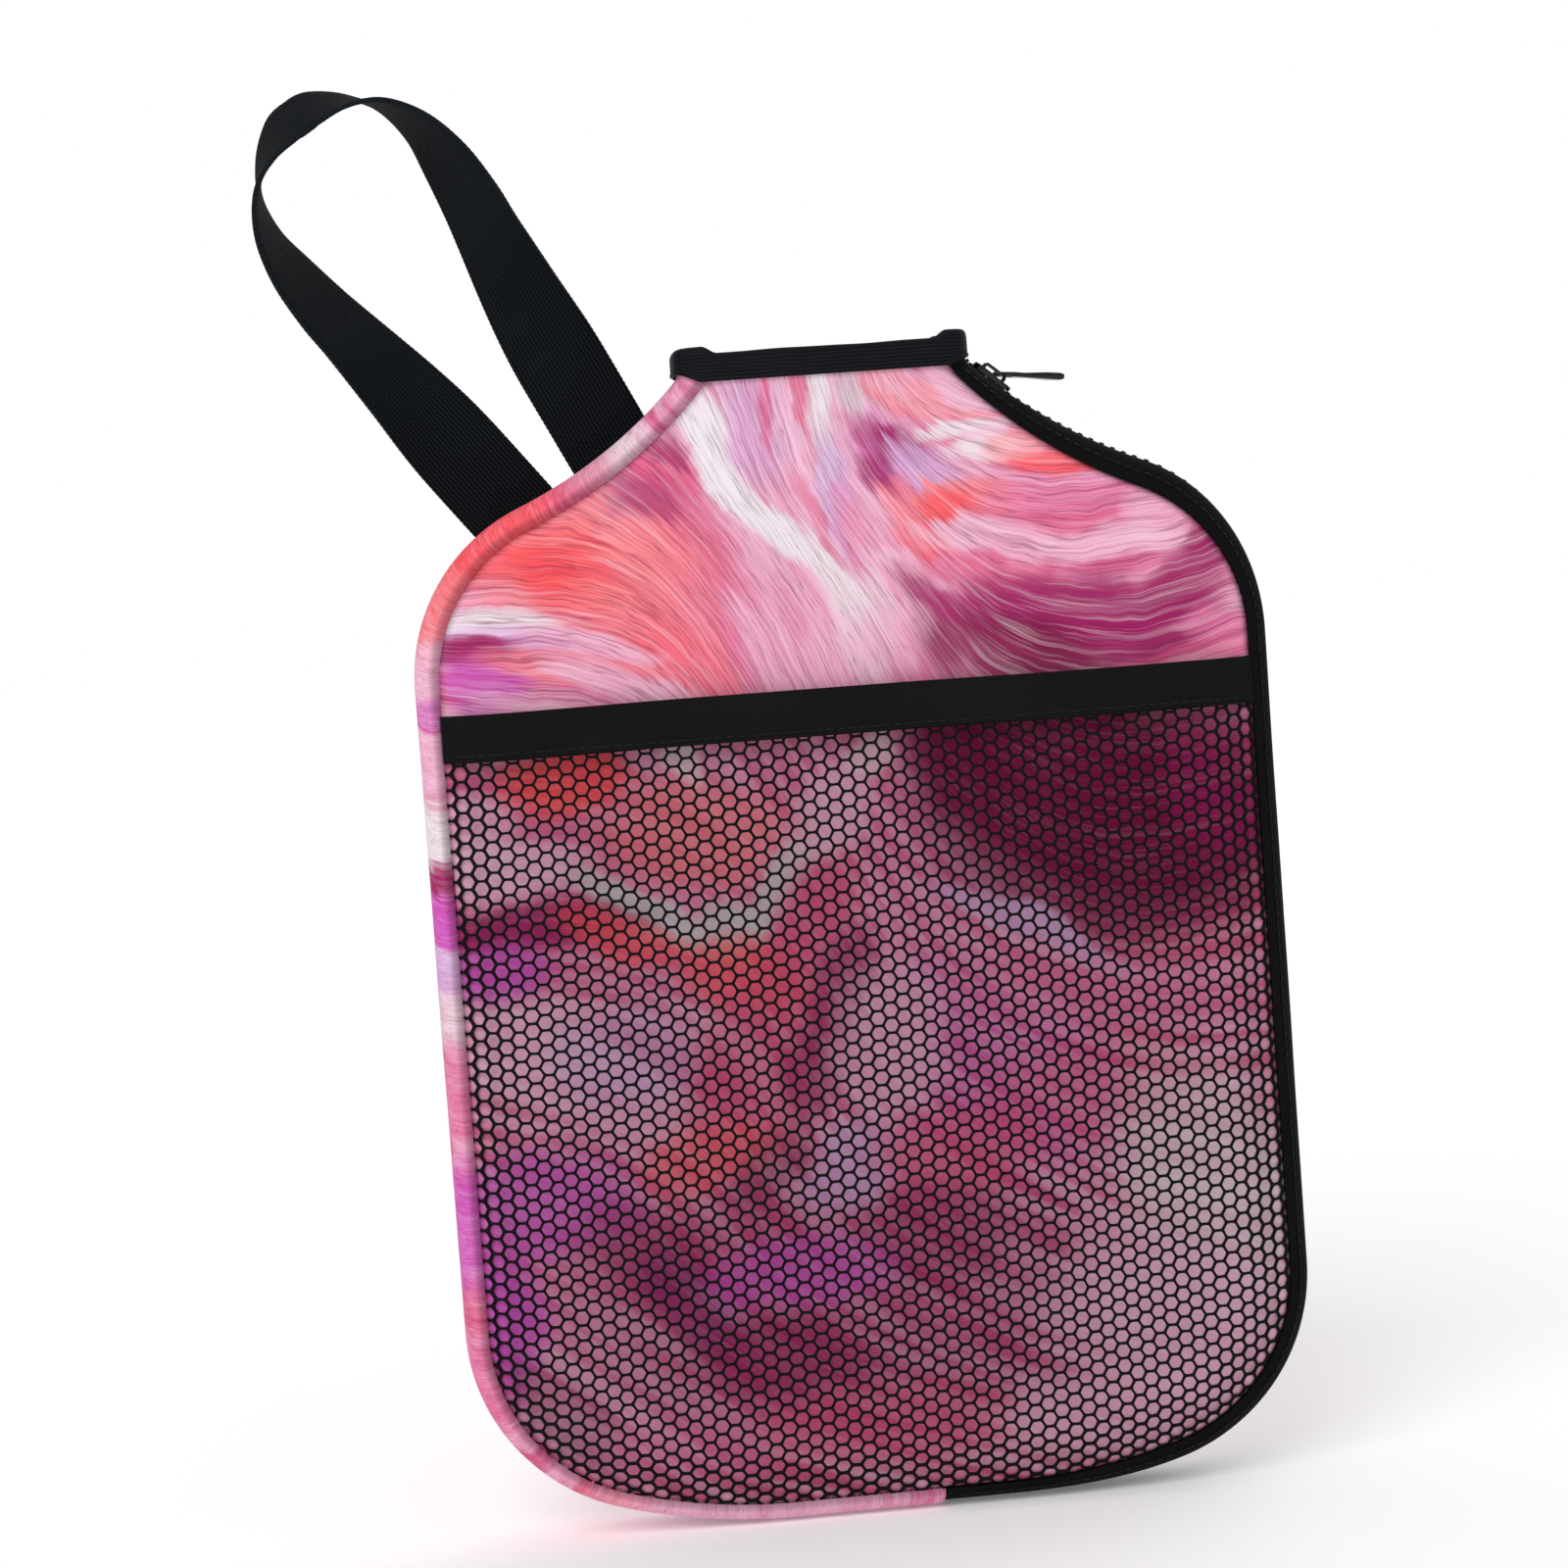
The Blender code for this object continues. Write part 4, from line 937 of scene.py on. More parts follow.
@dataclass(frozen=True)
class PrintedFoam:
    """Jersey-faced foam with a marbled print drawn out into hairs."""

    name: str
    patches: Sequence[Patch]
    feather: float
    hairs: float = 1.0
    calm_below: float = -1.0

    def make(self) -> bpy.types.Material:
        """Pools of ink laid one over another, then hairs along the strokes, painted shade along the
        seams, then the jersey.

        Returns:
            The material.
        """
        r = Recipe(self.name)
        hair, along = r.map("hair")
        step_x, step_z = r.map("stroke")
        depth, around = r.map("seam")
        x, y, z = r.place()
        calm = z.ramp(self.calm_below - 0.004, self.calm_below + 0.010) * 0.78 + 0.22
        wander = r.noise(r.places, 42.0, 2.0) * 0.7 + r.noise(r.places, 120.0, 1.0) * 0.3
        line = hair + (wander - 0.5) * 0.34
        ribbon, lock, strand, fibre = [
            r.noise(r.joined(line * scale, along * drift, seed), 1.0, 1.5, 0.6)
            for scale, drift, seed in ((2.4, 1.6, 3.1), (7.0, 2.2, 9.7), (16.0, 3.2, 5.3),
                                       (38.0, 6.0, 1.9))]
        draw = ((ribbon - 0.5) * 1.3 + (lock - 0.5) * 1.3 + (strand - 0.5) * 0.9)
        draw = draw * calm * (self.feather * MM)
        pushed = r.vector("ADD", r.places, r.joined(step_x * draw, 0.0, step_z * draw))
        cloud = r.node("ShaderNodeTexNoise", {"Vector": r.places, "Scale": 46.0, "Detail": 4.0})
        drift_by = r.vector("SUBTRACT", cloud.outputs["Color"], (0.5, 0.5, 0.5))
        pushed = r.vector("ADD", pushed, r.scaled(drift_by, 12.0 * MM))
        flat = r.vector("MULTIPLY", pushed, (1.0, 0.0, 1.0))
        colour = r.mix(ribbon.ramp(0.34, 0.66), dye(214, 96, 140), dye(236, 168, 198))
        for patch in self.patches:
            turn = math.radians(patch.angle)
            square: Wire | float = 0.0
            for reach, axis in ((patch.long, (math.cos(turn), 0.0, math.sin(turn))),
                                (patch.wide, (-math.sin(turn), 0.0, math.cos(turn)))):
                start = (patch.x * axis[0] + patch.z * axis[2]) / reach
                across = r.vector("DOT_PRODUCT", flat, [part / reach / MM for part in axis])
                beyond = across - start
                square = beyond * beyond + square
            colour = r.mix(square.ramp(1.44, 0.2) * patch.strength, colour, patch.ink.light)
        calm = calm * self.hairs
        colour = r.mix(lock.ramp(0.54, 0.70) * calm * 0.11, colour, Ink.WHITE.light)
        colour = r.mix(lock.ramp(0.46, 0.32) * calm * 0.22, colour, dye(170, 30, 90))
        colour = r.mix(strand.ramp(0.56, 0.68) * calm * 0.20, colour, dye(250, 226, 236))
        furrow = (strand - 0.47).abs().ramp(0.045, 0.0)
        colour = r.mix(furrow * calm * 0.46, colour, dye(120, 34, 74))
        colour = r.mix(fibre.ramp(0.45, 0.30) * calm * 0.30, colour, dye(128, 44, 84))
        colour = r.mix(fibre.ramp(0.57, 0.70) * calm * 0.16, colour, Ink.WHITE.light)
        # Painted shade: within about 2.6 mm of a seam the print darkens towards a deep rose, standing in
        # for the shadow in the seam's groove.
        colour = r.mix(depth.ramp(2.6, 0.2) * 0.42, colour, dye(70, 22, 44))
        wale = (x * (math.tau / (0.9 * MM))).sin() * (z * (math.tau / (0.7 * MM))
                                                      + y * 9000.0).sin()
        soft = r.noise(r.places, 900.0, 3.0, 0.6)
        cloth = r.bump(wale * 0.35 + soft, 0.10 * MM, 0.5)
        pucker = ((around * (math.tau / 3.0)).sin() * 0.5 + 0.5) * depth.ramp(4.5, 0.4)
        sewn = r.bump(pucker, 0.35 * MM, 0.6, under=cloth)
        raised = r.bump(strand * 0.6 + furrow * -0.5 + fibre * 0.3, 0.22 * MM, 0.28, under=sewn)
        return r.done(colour, 0.66 + soft * 0.2, raised, Specular_IOR_Level=0.12)


# ------------------------------------------------------------------ repeats

@dataclass
class Setter:
    """Sets copies of one small shape on given places, turned and slightly uneven.

    One Geometry Nodes tree serves teeth, stitches and the holes of the net.
    """

    tree: bpy.types.NodeTree = field(init=False)

    def __post_init__(self) -> None:
        """Build the tree."""
        tree = bpy.data.node_groups.new("set_copies", "GeometryNodeTree")
        face = tree.interface
        face.new_socket("Places", in_out="INPUT", socket_type="NodeSocketGeometry")
        for name, kind in (("Shape", "NodeSocketObject"), ("Finish", "NodeSocketMaterial"),
                           ("Merge Distance", "NodeSocketFloat"), ("Unevenness", "NodeSocketFloat"),
                           ("Seed", "NodeSocketInt")):
            face.new_socket(name, in_out="INPUT", socket_type=kind)
        face.new_socket("Geometry", in_out="OUTPUT", socket_type="NodeSocketGeometry")
        given = self._node(tree, "NodeGroupInput")
        turn = self._node(tree, "GeometryNodeInputNamedAttribute", data_type="FLOAT_VECTOR")
        turn.inputs["Name"].default_value = "turn"
        shape = self._node(tree, "GeometryNodeObjectInfo", transform_space="ORIGINAL")
        uneven = self._node(tree, "FunctionNodeRandomValue", data_type="FLOAT_VECTOR")
        low = self._node(tree, "ShaderNodeMath", operation="SUBTRACT")
        high = self._node(tree, "ShaderNodeMath", operation="ADD")
        copies = self._node(tree, "GeometryNodeInstanceOnPoints")
        plain = self._node(tree, "GeometryNodeRealizeInstances")
        merged = self._node(tree, "GeometryNodeMergeByDistance")
        dressed = self._node(tree, "GeometryNodeSetMaterial")
        result = self._node(tree, "NodeGroupOutput")
        join = tree.links.new
        join(given.outputs["Shape"], shape.inputs["Object"])
        for node in (low, high):
            node.inputs[0].default_value = 1.0
            join(given.outputs["Unevenness"], node.inputs[1])
        join(low.outputs[0], uneven.inputs["Min"])
        join(high.outputs[0], uneven.inputs["Max"])
        join(given.outputs["Seed"], uneven.inputs["Seed"])
        join(given.outputs["Places"], copies.inputs["Points"])
        join(shape.outputs["Geometry"], copies.inputs["Instance"])
        join(turn.outputs["Attribute"], copies.inputs["Rotation"])
        join(uneven.outputs["Value"], copies.inputs["Scale"])
        join(copies.outputs["Instances"], plain.inputs["Geometry"])
        join(plain.outputs["Geometry"], merged.inputs["Geometry"])
        join(given.outputs["Merge Distance"], merged.inputs["Distance"])
        join(merged.outputs["Geometry"], dressed.inputs["Geometry"])
        join(given.outputs["Finish"], dressed.inputs["Material"])
        join(dressed.outputs["Geometry"], result.inputs["Geometry"])
        self.tree = tree

    @staticmethod
    def _node(tree: bpy.types.NodeTree, kind: str, **settings: object) -> bpy.types.Node:
        """Make one node of the tree with its settings."""
        made = tree.nodes.new(kind)
        for key, value in settings.items():
            setattr(made, key, value)
        return made

    def place(self, name: str, places: Array, turns: Array, shape: bpy.types.Mesh,
              finish: bpy.types.Material, merge: float = 0.0, uneven: float = 0.0,
              seed: int = 7) -> bpy.types.Object:
        """Set the copies and return them as one plain mesh.

        Args:
            name: The piece's name.
            places: Where the copies stand, in metres.
            turns: How each is turned, as XYZ angles.
            shape: The shape to repeat, around its own origin.
            finish: The material.
            merge: Points nearer than this become one.
            uneven: Share by which the copies differ in size.
            seed: Seed of the unevenness.

        Returns:
            The new object.
        """
        points = bpy.data.meshes.new(name)
        points.from_pydata(places.tolist(), [], [])
        turned = points.attributes.new("turn", "FLOAT_VECTOR", "POINT")
        turned.data.foreach_set("vector", turns.astype(np.float32).ravel())
        piece = link(name, points)
        pattern = link(name + "_shape", shape)
        step = piece.modifiers.new("copies", "NODES")
        step.node_group = self.tree
        values = {"Shape": pattern, "Finish": finish, "Merge Distance": max(merge, 1e-7),
                  "Unevenness": uneven, "Seed": seed}
        for socket in self.tree.interface.items_tree:
            if socket.in_out == "INPUT" and socket.name in values:
                step[socket.identifier] = values[socket.name]
        piece.update_tag()
        bpy.context.view_layer.update()
        bake(piece)
        bpy.data.objects.remove(pattern)
        return piece


def capsule(length: float, width: float, height: float, around: int = 8) -> bpy.types.Mesh:
    """A short fat thread lying along X, flat underneath.

    Args:
        length: From end to end.
        width: Across.
        height: Up from the cloth.
        around: Faces around it.

    Returns:
        The mesh.
    """
    rows = []
    for share in (-0.98, -0.8, -0.4, 0.4, 0.8, 0.98):
        size = math.sqrt(max(1 - share ** 4, 0.02))
        rows.append([(share * length / 2, size * width / 2 * math.cos(turn),
                      size * height * (0.5 + 0.5 * math.sin(turn)) - 0.2 * height)
                     for turn in np.linspace(0, math.tau, around, endpoint=False)])
    mesh = bpy.data.meshes.new("thread")
    faces = [[r * around + k, r * around + (k + 1) % around,
              (r + 1) * around + (k + 1) % around, (r + 1) * around + k]
             for r in range(len(rows) - 1) for k in range(around)]
    faces += [list(range(around))[::-1], [(len(rows) - 1) * around + k for k in range(around)]]
    mesh.from_pydata([p for row in rows for p in row], [], faces)
    face_out(mesh)
    mesh.shade_smooth()
    return mesh


@dataclass
class Stitching:
    """Rows of lockstitch in one thread."""

    setter: Setter
    finish: bpy.types.Material
    pitch: float = 3.0 * MM
    stitch: float = 2.3 * MM
    thick: float = 0.55 * MM

    def sew(self, name: str, rows: Sequence[tuple[Array, Array]], body: str = "case") -> bpy.types.Object:
        """Sew along lines of places that have an outward step at each.

        Args:
            name: The piece's name.
            rows: Lines as pairs of places and outward steps.
            body: What the stitches move with.

        Returns:
            The stitches as one piece.
        """
        places, turns = [], []
        for line, outs in rows:
            lengths = np.concatenate([[0.0], np.cumsum(
                np.linalg.norm(np.diff(line, axis=0), axis=1))])
            for along in np.arange(self.pitch / 2, lengths[-1] - self.pitch / 4, self.pitch):
                at, before, after = [np.array([np.interp(along + gap, lengths, line[:, k])
                                               for k in range(3)])
                                     for gap in (0, -self.stitch / 2, self.stitch / 2)]
                out = np.array([np.interp(along, lengths, outs[:, k]) for k in range(3)])
                run = Vector(after - before).normalized()
                side = Vector(out).cross(run).normalized()
                up = run.cross(side)
                turn = Matrix((run, side, up)).transposed().to_euler("XYZ")
                places.append(at)
                turns.append(tuple(turn))
        shape = capsule(self.stitch, self.thick, self.thick * 0.7)
        piece = self.setter.place(name, np.array(places), np.array(turns), shape,
                                  self.finish, uneven=0.06)
        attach(piece, body)
        return piece


# ------------------------------------------------------------------ finishes

@dataclass(frozen=True)
class Weave:
    """A black woven band: its dye, darker in the grooves and lighter on the cords as painted shade, how
    wide its cords are and how they run.
    """

    name: str
    dark: tuple[int, int, int]
    light: tuple[int, int, int]
    cord: float
    pick: float
    depth: float = 0.16 * MM
    twill: float = 0.5
    rough: float = 0.72
    shine: float = 0.07

    def make(self) -> bpy.types.Material:
        """Cords along the band and picks across it, read from the piece's own weave map."""
        r = Recipe(self.name)
        along, across = r.map("weave")
        row = across / (self.cord / MM)
        shift = row.floor() * self.twill
        cord = (row * math.tau).sin() * 0.5 + 0.5
        pick = ((along / (self.pick / MM) + shift) * math.tau).sin() * 0.5 + 0.5
        fuzz = r.noise(r.places, 1500.0, 3.0, 0.6)
        worn = r.noise(r.places, 26.0, 3.0, 0.55)
        height = cord * 0.65 + pick * cord * 0.5 + fuzz * 0.25
        # Painted shade: the dark dye fills the weave's low places and the light dye its raised cords,
        # following the bump's height.
        colour = r.mix(height.ramp(0.25, 1.15), dye(*self.dark), dye(*self.light))
        colour = r.mix(worn.ramp(0.52, 0.72) * 0.25, colour, dye(*self.light))
        return r.done(colour, self.rough + fuzz * 0.16, r.bump(height, self.depth, 0.8),
                      Specular_IOR_Level=self.shine)


@dataclass(frozen=True)
class Thread:
    """Twisted sewing thread."""

    name: str
    shade: tuple[int, int, int]

    def make(self) -> bpy.types.Material:
        """A plain dark twist with a soft shine."""
        r = Recipe(self.name)
        x, _, z = r.place()
        ply = ((x + z) * (math.tau / (0.45 * MM))).sin() * 0.5 + 0.5
        fuzz = r.noise(r.places, 2200.0, 2.0)
        # Painted shade: the thread is half as bright in the low places of its twist, following the ply's
        # bump.
        colour = r.mix(ply * 0.6 + fuzz * 0.4, dye(*[c // 2 for c in self.shade]),
                       dye(*self.shade))
        return r.done(colour, 0.5 + fuzz * 0.2, r.bump(ply, 0.05 * MM, 0.6),
                      Specular_IOR_Level=0.15)


@dataclass(frozen=True)
class Moulding:
    """Black moulded resin or lacquered metal, with handling marks."""

    name: str
    shade: tuple[int, int, int]
    rough: float
    metal: float = 0.0
    coat: float = 0.0
    worn: tuple[int, int, int] = (64, 62, 60)

    def make(self) -> bpy.types.Material:
        """A dark body with fine grain, faint scuffs and a little unevenness in its shine."""
        r = Recipe(self.name)
        grain = r.noise(r.places, 1800.0, 2.0)
        scuff = r.noise(r.places, 420.0, 4.0, 0.7)
        haze = r.noise(r.places, 90.0, 3.0)
        colour = r.mix(scuff.ramp(0.60, 0.78) * 0.5, dye(*self.shade), dye(*self.worn))
        rough = self.rough + (haze - 0.5) * 0.16 + scuff.ramp(0.55, 0.8) * 0.14
        return r.done(colour, rough, r.bump(grain + scuff * 0.6, 0.03 * MM, 0.35),
                      Metallic=self.metal, Coat_Weight=self.coat, Coat_Roughness=0.12,
                      Specular_IOR_Level=0.3)


@dataclass(frozen=True)
class Knit:
    """Coarse warp-knit net in black polyester."""

    name: str = "net"

    def make(self) -> bpy.types.Material:
        """Fine filaments that run along the strands, with a slight sheen."""
        r = Recipe(self.name)
        x, _, z = r.place()
        filament = ((x * 0.8 + z) * (math.tau / (0.42 * MM))).sin() * 0.5 + 0.5
        across = ((x - z * 0.8) * (math.tau / (0.55 * MM))).sin() * 0.5 + 0.5
        fuzz = r.noise(r.places, 1600.0, 2.0)
        height = filament * 0.5 + across * 0.3 + fuzz * 0.5
        # Painted shade: the strands are darker where the knit's height is low and lighter where it is
        # raised, following the bump.
        colour = r.mix(height.ramp(0.2, 1.1), dye(5, 4, 5), dye(24, 22, 24))
        return r.done(colour, 0.6 + fuzz * 0.2, r.bump(height, 0.08 * MM, 0.6),
                      Specular_IOR_Level=0.08)


# ------------------------------------------------------------------ foam

@dataclass
class PanelShape:
    """How a foam face lies: level in the middle and rolled down to its seam."""

    face: float = 14.0 * MM
    inner: float = 10.0 * MM
    roll: float = 2.5 * MM
    roll_width: float = 6.0 * MM
    covered: float = 6.4 * MM
    pocket_gap: float = 0.3 * MM
    pocket_depth: float = 5.4 * MM
    pocket_slope: float = 15.0 * MM

    def surface(self, depth: Array) -> Array:
        """Distance of the outer face from the middle, by distance in from the seam."""
        share = np.clip(1.0 - depth / self.roll_width, 0.0, 1.0)
        return self.face - self.roll * share ** 2.4

    def pocket(self, depth: Array) -> Array:
        """Distance of the pocket's inner face from the middle."""
        return (self.surface(depth) + self.pocket_gap
                + self.pocket_depth * ease(depth / self.pocket_slope))


@dataclass
class FoamPanel:
    """One printed foam face, swollen between its sewn edges by cloth simulation."""

    seam: SeamLine
    brush: Brush
    shape: PanelShape
    side: Side
    above: bpy.types.Material
    below: bpy.types.Material
    print_join: float = 218.6 * MM
    pitch: float = 4.6 * MM
    rings: tuple[float, ...] = (0.0, 0.9, 2.0, 3.4, 5.2, 7.6, 10.8)
    swell: float = 1.5 * MM
    held_edge: float = 6.5 * MM

    def build(self) -> bpy.types.Object:
        """Cut, swell and dress the panel.

        Returns:
            The finished piece.
        """
        flat, faces = self._cut()
        depth = np.maximum(self.seam.depth(flat[:, 0], flat[:, 1]), 0.0)
        piece = self._foam(flat, faces, depth)
        free = np.minimum(depth, np.maximum(self.seam.top - flat[:, 1], 0.0))
        rise = self._swell(piece, len(flat), free)
        mesh = piece.data
        for index, lift in enumerate(rise):
            mesh.vertices[index].co.y += self.side.value * lift
        rounding = piece.modifiers.new("smooth", "SUBSURF")
        rounding.levels = rounding.render_levels = 1
        rounding.boundary_smooth = "PRESERVE_CORNERS"
        bake(piece)
        mesh = piece.data
        co = np.empty(len(mesh.vertices) * 3)
        mesh.vertices.foreach_get("co", co)
        co = co.reshape(-1, 3)
        maps = self.brush.maps(co[:, 0], co[:, 2])
        # The seam map holds the distance in from the seam in mm and the place along it; the print darkens
        # near the seam by it as painted shade, and puckers there.
        edge = np.maximum(self.seam.depth(co[:, 0], co[:, 2]), 0.0)
        edge = np.minimum(edge, self.seam.top - self.shape.covered - co[:, 2] + 9 * MM)
        maps["seam"] = np.stack([edge, self.seam.nearest(co[:, 0], co[:, 2])], -1) / MM
        write_maps(mesh, maps)
        face_out(mesh)
        mesh.shade_smooth()
        mesh.materials.append(self.above)
        mesh.materials.append(self.below)
        for polygon in mesh.polygons:
            polygon.material_index = int(polygon.center.z < self.print_join)
        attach(piece, "case")
        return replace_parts(piece, f"{self.side.word}_panel")

    def _cut(self) -> tuple[Array, list]:
        """Places of the panel's mesh in XZ and its triangles: rings at the edge, then a lattice."""
        spots = []
        for ring in self.rings:
            count = int(self.seam.length / (self.pitch * (0.62 if ring < 3 else 0.85)))
            along = np.linspace(0.0, self.seam.length, count + 1)
            right = self.seam.spots(along, np.full(len(along), -ring * MM), 0.0)
            right = right[right[:, 0] >= -1e-9]
            left = right[right[:, 0] > 1e-6] * (-1, 1, 1)
            spots.append(np.concatenate([right, left])[:, [0, 2]])
            top = self.seam.top - ring * MM
            reach = self.seam.neck_half_width - ring * MM
            row = np.arange(-reach + self.pitch, reach - self.pitch / 2, self.pitch)
            spots.append(np.stack([row, np.full(len(row), top)], -1))
        step = self.pitch
        for index, z in enumerate(np.arange(self.seam.bottom, self.seam.top, step * 0.866)):
            x = np.arange(-30, 31) * step + (step / 2 if index % 2 else 0.0)
            row = np.stack([x, np.full(len(x), z)], -1)
            inside = self.seam.depth(row[:, 0], row[:, 1]) > self.rings[-1] * MM + step * 0.6
            spots.append(row[inside & (z < self.seam.top - self.rings[-1] * MM - step * 0.6)])
        points = np.concatenate(spots)
        # rings cross each other at the neck's corners, so only one of two close places stays
        keep = []
        cells: dict[tuple[int, int], list[int]] = {}
        near = 0.75 * MM
        for index, (x, z) in enumerate(points):
            cell = (int(x // near), int(z // near))
            close = any((points[other] - (x, z)) @ (points[other] - (x, z)) < near ** 2
                        for i in (-1, 0, 1) for j in (-1, 0, 1)
                        for other in cells.get((cell[0] + i, cell[1] + j), ()))
            outside = z > self.seam.top + 1e-7
            if not close and not outside:
                keep.append(index)
                cells.setdefault(cell, []).append(index)
        points = points[keep]
        found = delaunay_2d_cdt([Vector(p) for p in points], [], [], 0, 1e-7)
        flat = np.array([tuple(p) for p in found[0]])
        faces = np.array([f for f in found[2] if len(f) == 3])
        middle = flat[faces].mean(1)
        inside = (self.seam.depth(middle[:, 0], middle[:, 1]) > 0) & (middle[:, 1] < self.seam.top)
        return flat, faces[inside].tolist()

    def _foam(self, flat: Array, faces: list, depth: Array) -> bpy.types.Object:
        """The closed slab, its outer face rolled down to the seam."""
        side = self.side.value
        outer = np.stack([flat[:, 0], side * self.shape.surface(depth), flat[:, 1]], -1)
        inner = np.stack([flat[:, 0], np.full(len(flat), side * self.shape.inner),
                          flat[:, 1]], -1)
        count = len(flat)
        seen: dict[tuple[int, int], int] = {}
        for face in faces:
            for a, b in zip(face, face[1:] + face[:1]):
                seen[(a, b)] = 1
        walls = [(a, b, b + count, a + count) for a, b in seen if (b, a) not in seen]
        mesh = bpy.data.meshes.new(f"{self.side.word}_panel_foam")
        mesh.from_pydata(np.concatenate([outer, inner]).tolist(), [],
                         faces + [[i + count for i in face[::-1]] for face in faces] + walls)
        face_out(mesh)
        piece = link(f"{self.side.word}_panel_foam", mesh)
        bm = bmesh.new()
        bm.from_mesh(mesh)
        crease = bm.edges.layers.float.new("crease_edge")
        for edge in bm.edges:
            if len(edge.link_faces) == 2 and edge.calc_face_angle() > math.radians(50):
                edge[crease] = 0.75
        bm.to_mesh(mesh)
        bm.free()
        return piece

    def _swell(self, piece: bpy.types.Object, count: int, depth: Array) -> Array:
        """How far the outer face swells under pressure, held along its seams."""
        trial = link("trial", piece.data.copy())
        held = trial.vertex_groups.new(name="held")
        held.add(list(range(count, 2 * count)), 1.0, "REPLACE")
        held.add([int(i) for i in np.nonzero(depth < self.held_edge)[0]], 1.0, "REPLACE")
        cloth = trial.modifiers.new("cloth", "CLOTH")
        work = cloth.settings
        work.quality = 4
        work.mass = 0.12
        work.tension_stiffness = work.compression_stiffness = 25.0
        work.shear_stiffness = 15.0
        work.bending_stiffness = 8.0
        work.use_pressure = True
        work.uniform_pressure_force = 4.0
        work.vertex_group_mass = "held"
        work.effector_weights.gravity = 0.0
        cloth.point_cache.frame_start, cloth.point_cache.frame_end = 1, 20
        scene = bpy.context.scene
        for frame in range(1, 21):
            scene.frame_set(frame)
        graph = bpy.context.evaluated_depsgraph_get()
        moved = trial.evaluated_get(graph).data
        after = np.empty(len(moved.vertices) * 3)
        moved.vertices.foreach_get("co", after)
        before = np.empty(len(piece.data.vertices) * 3)
        piece.data.vertices.foreach_get("co", before)
        rise = self.side.value * (after - before).reshape(-1, 3)[:count, 1]
        bpy.data.objects.remove(trial)
        scene.frame_set(1)
        LOG.info("%s panel swelled %.2f mm", self.side.word, rise.max() / MM)
        return self.swell * np.tanh(np.maximum(rise, 0.0) / self.swell)


@dataclass
class Gusset:
    """The foam strip round the left side, bowed out between the two faces."""

    seam: SeamLine
    finish: bpy.types.Material
    lift: float = 6.0 * MM
    tab: float = 10.5 * MM
    tab_round: float = 1.6 * MM
    foam: float = 3.5 * MM
    pitch: float = 2.0 * MM
    bow: tuple[tuple[float, float], ...] = (
        (-0.12, 12.0), (-0.02, 12.9), (0.10, 13.35), (0.25, 13.45), (0.42, 13.15), (0.62, 12.3),
        (0.80, 11.0), (0.91, 9.4), (0.97, 7.4), (0.99, 5.0), (1.0, 2.4), (1.0, 0.0))

    def build(self) -> bpy.types.Object:
        """Loft the strip from the neck to just past the middle of the bottom.

        Returns:
            The finished piece.
        """
        end = self.seam.length + self.tab
        along = np.arange(0.3 * MM, end - self.tab_round, self.pitch)
        along = np.append(along, end - self.tab_round * np.array((1.0, 0.6, 0.3, 0.1, 0.0)))
        low = ease((along - self.seam.corner_start)
                   / (self.seam.bottom_start - self.seam.corner_start))
        lift = self.lift + (self.seam.bottom - self.lift) * low
        share = np.clip((along - (end - self.tab_round)) / self.tab_round, 0, 1)
        lift = lift - self.tab_round * (1 - np.sqrt(1 - share ** 2)) * 0.9
        half = np.array(self.bow)
        outer = np.concatenate([half, half[-2::-1] * (1, -1)])
        around = np.arange(len(outer), dtype=float)
        fine = np.linspace(0, len(outer) - 1, 61)
        profile = np.stack([smooth_through(around, outer[:, k], fine) for k in (0, 1)], -1)
        uneven = ripple(along[:, None] / (19 * MM), profile[None, :, 1] / 9.0, 2.0) * 0.12 * MM
        rise = profile[None, :, 0] * lift[:, None] + uneven * np.clip(
            profile[None, :, 0], 0, 1) * (1 - low[:, None])
        face = self.seam.spots(along[:, None], rise, profile[None, :, 1] * MM, side=-1)
        wall = self.seam.spots(along[:, None], rise - self.foam,
                               profile[None, :, 1] * MM * 0.74, side=-1)
        grid = np.concatenate([face, wall[:, ::-1]], axis=1)
        ahead = np.roll(grid, -1, axis=0) - grid
        ahead[-1] = ahead[-2]
        step = ahead[..., [0, 2]] / np.maximum(
            np.linalg.norm(ahead[..., [0, 2]], axis=-1, keepdims=True), 1e-9)
        slant = along[:, None] + 0.35 * grid[..., 1]
        hair = np.stack([slant / MM / 10.0, grid[..., 1] / MM / 14.0], -1)
        # millimetres to the nearer seam, counted as more out on the crown; the print darkens near the
        # seam by it as painted shade
        half_wide, crown_gain, far = 13.6, 6.0, 20.0
        edge = np.minimum(far, half_wide - np.abs(profile[None, :, 1])
                          + crown_gain * np.clip(profile[None, :, 0] - 0.1, 0, 1))
        edge = np.broadcast_to(np.maximum(edge, 0.0), face.shape[:2])
        edge = np.concatenate([edge, edge[:, ::-1]], axis=1)
        sewn = np.stack([edge, np.broadcast_to(along[:, None] / MM, edge.shape)], -1)
        piece = skin("side_gusset_foam", grid,
                     maps={"hair": hair, "stroke": step, "seam": sewn})
        piece.data.materials.append(self.finish)
        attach(piece, "case")
        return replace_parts(piece, "side_gusset")


def smooth_through(knots: Array, values: Array, places: Array) -> Array:
    """A smooth line through values at evenly numbered knots.

    Args:
        knots: 0, 1, 2 and so on.
        values: The value at each knot.
        places: Where to read it.

    Returns:
        The values there.
    """
    held = np.clip(places, knots[0], knots[-1] - 1e-9)
    index = held.astype(int)
    share = held - index
    padded = np.concatenate([[2 * values[0] - values[1]], values,
                             [2 * values[-1] - values[-2]]])
    a, b, c, d = (padded[index + k] for k in range(4))
    return b + 0.5 * share * (c - a + share * (2 * a - 5 * b + 4 * c - d
                                               + share * (3 * (b - c) + d - a)))


# ------------------------------------------------------------------ pocket

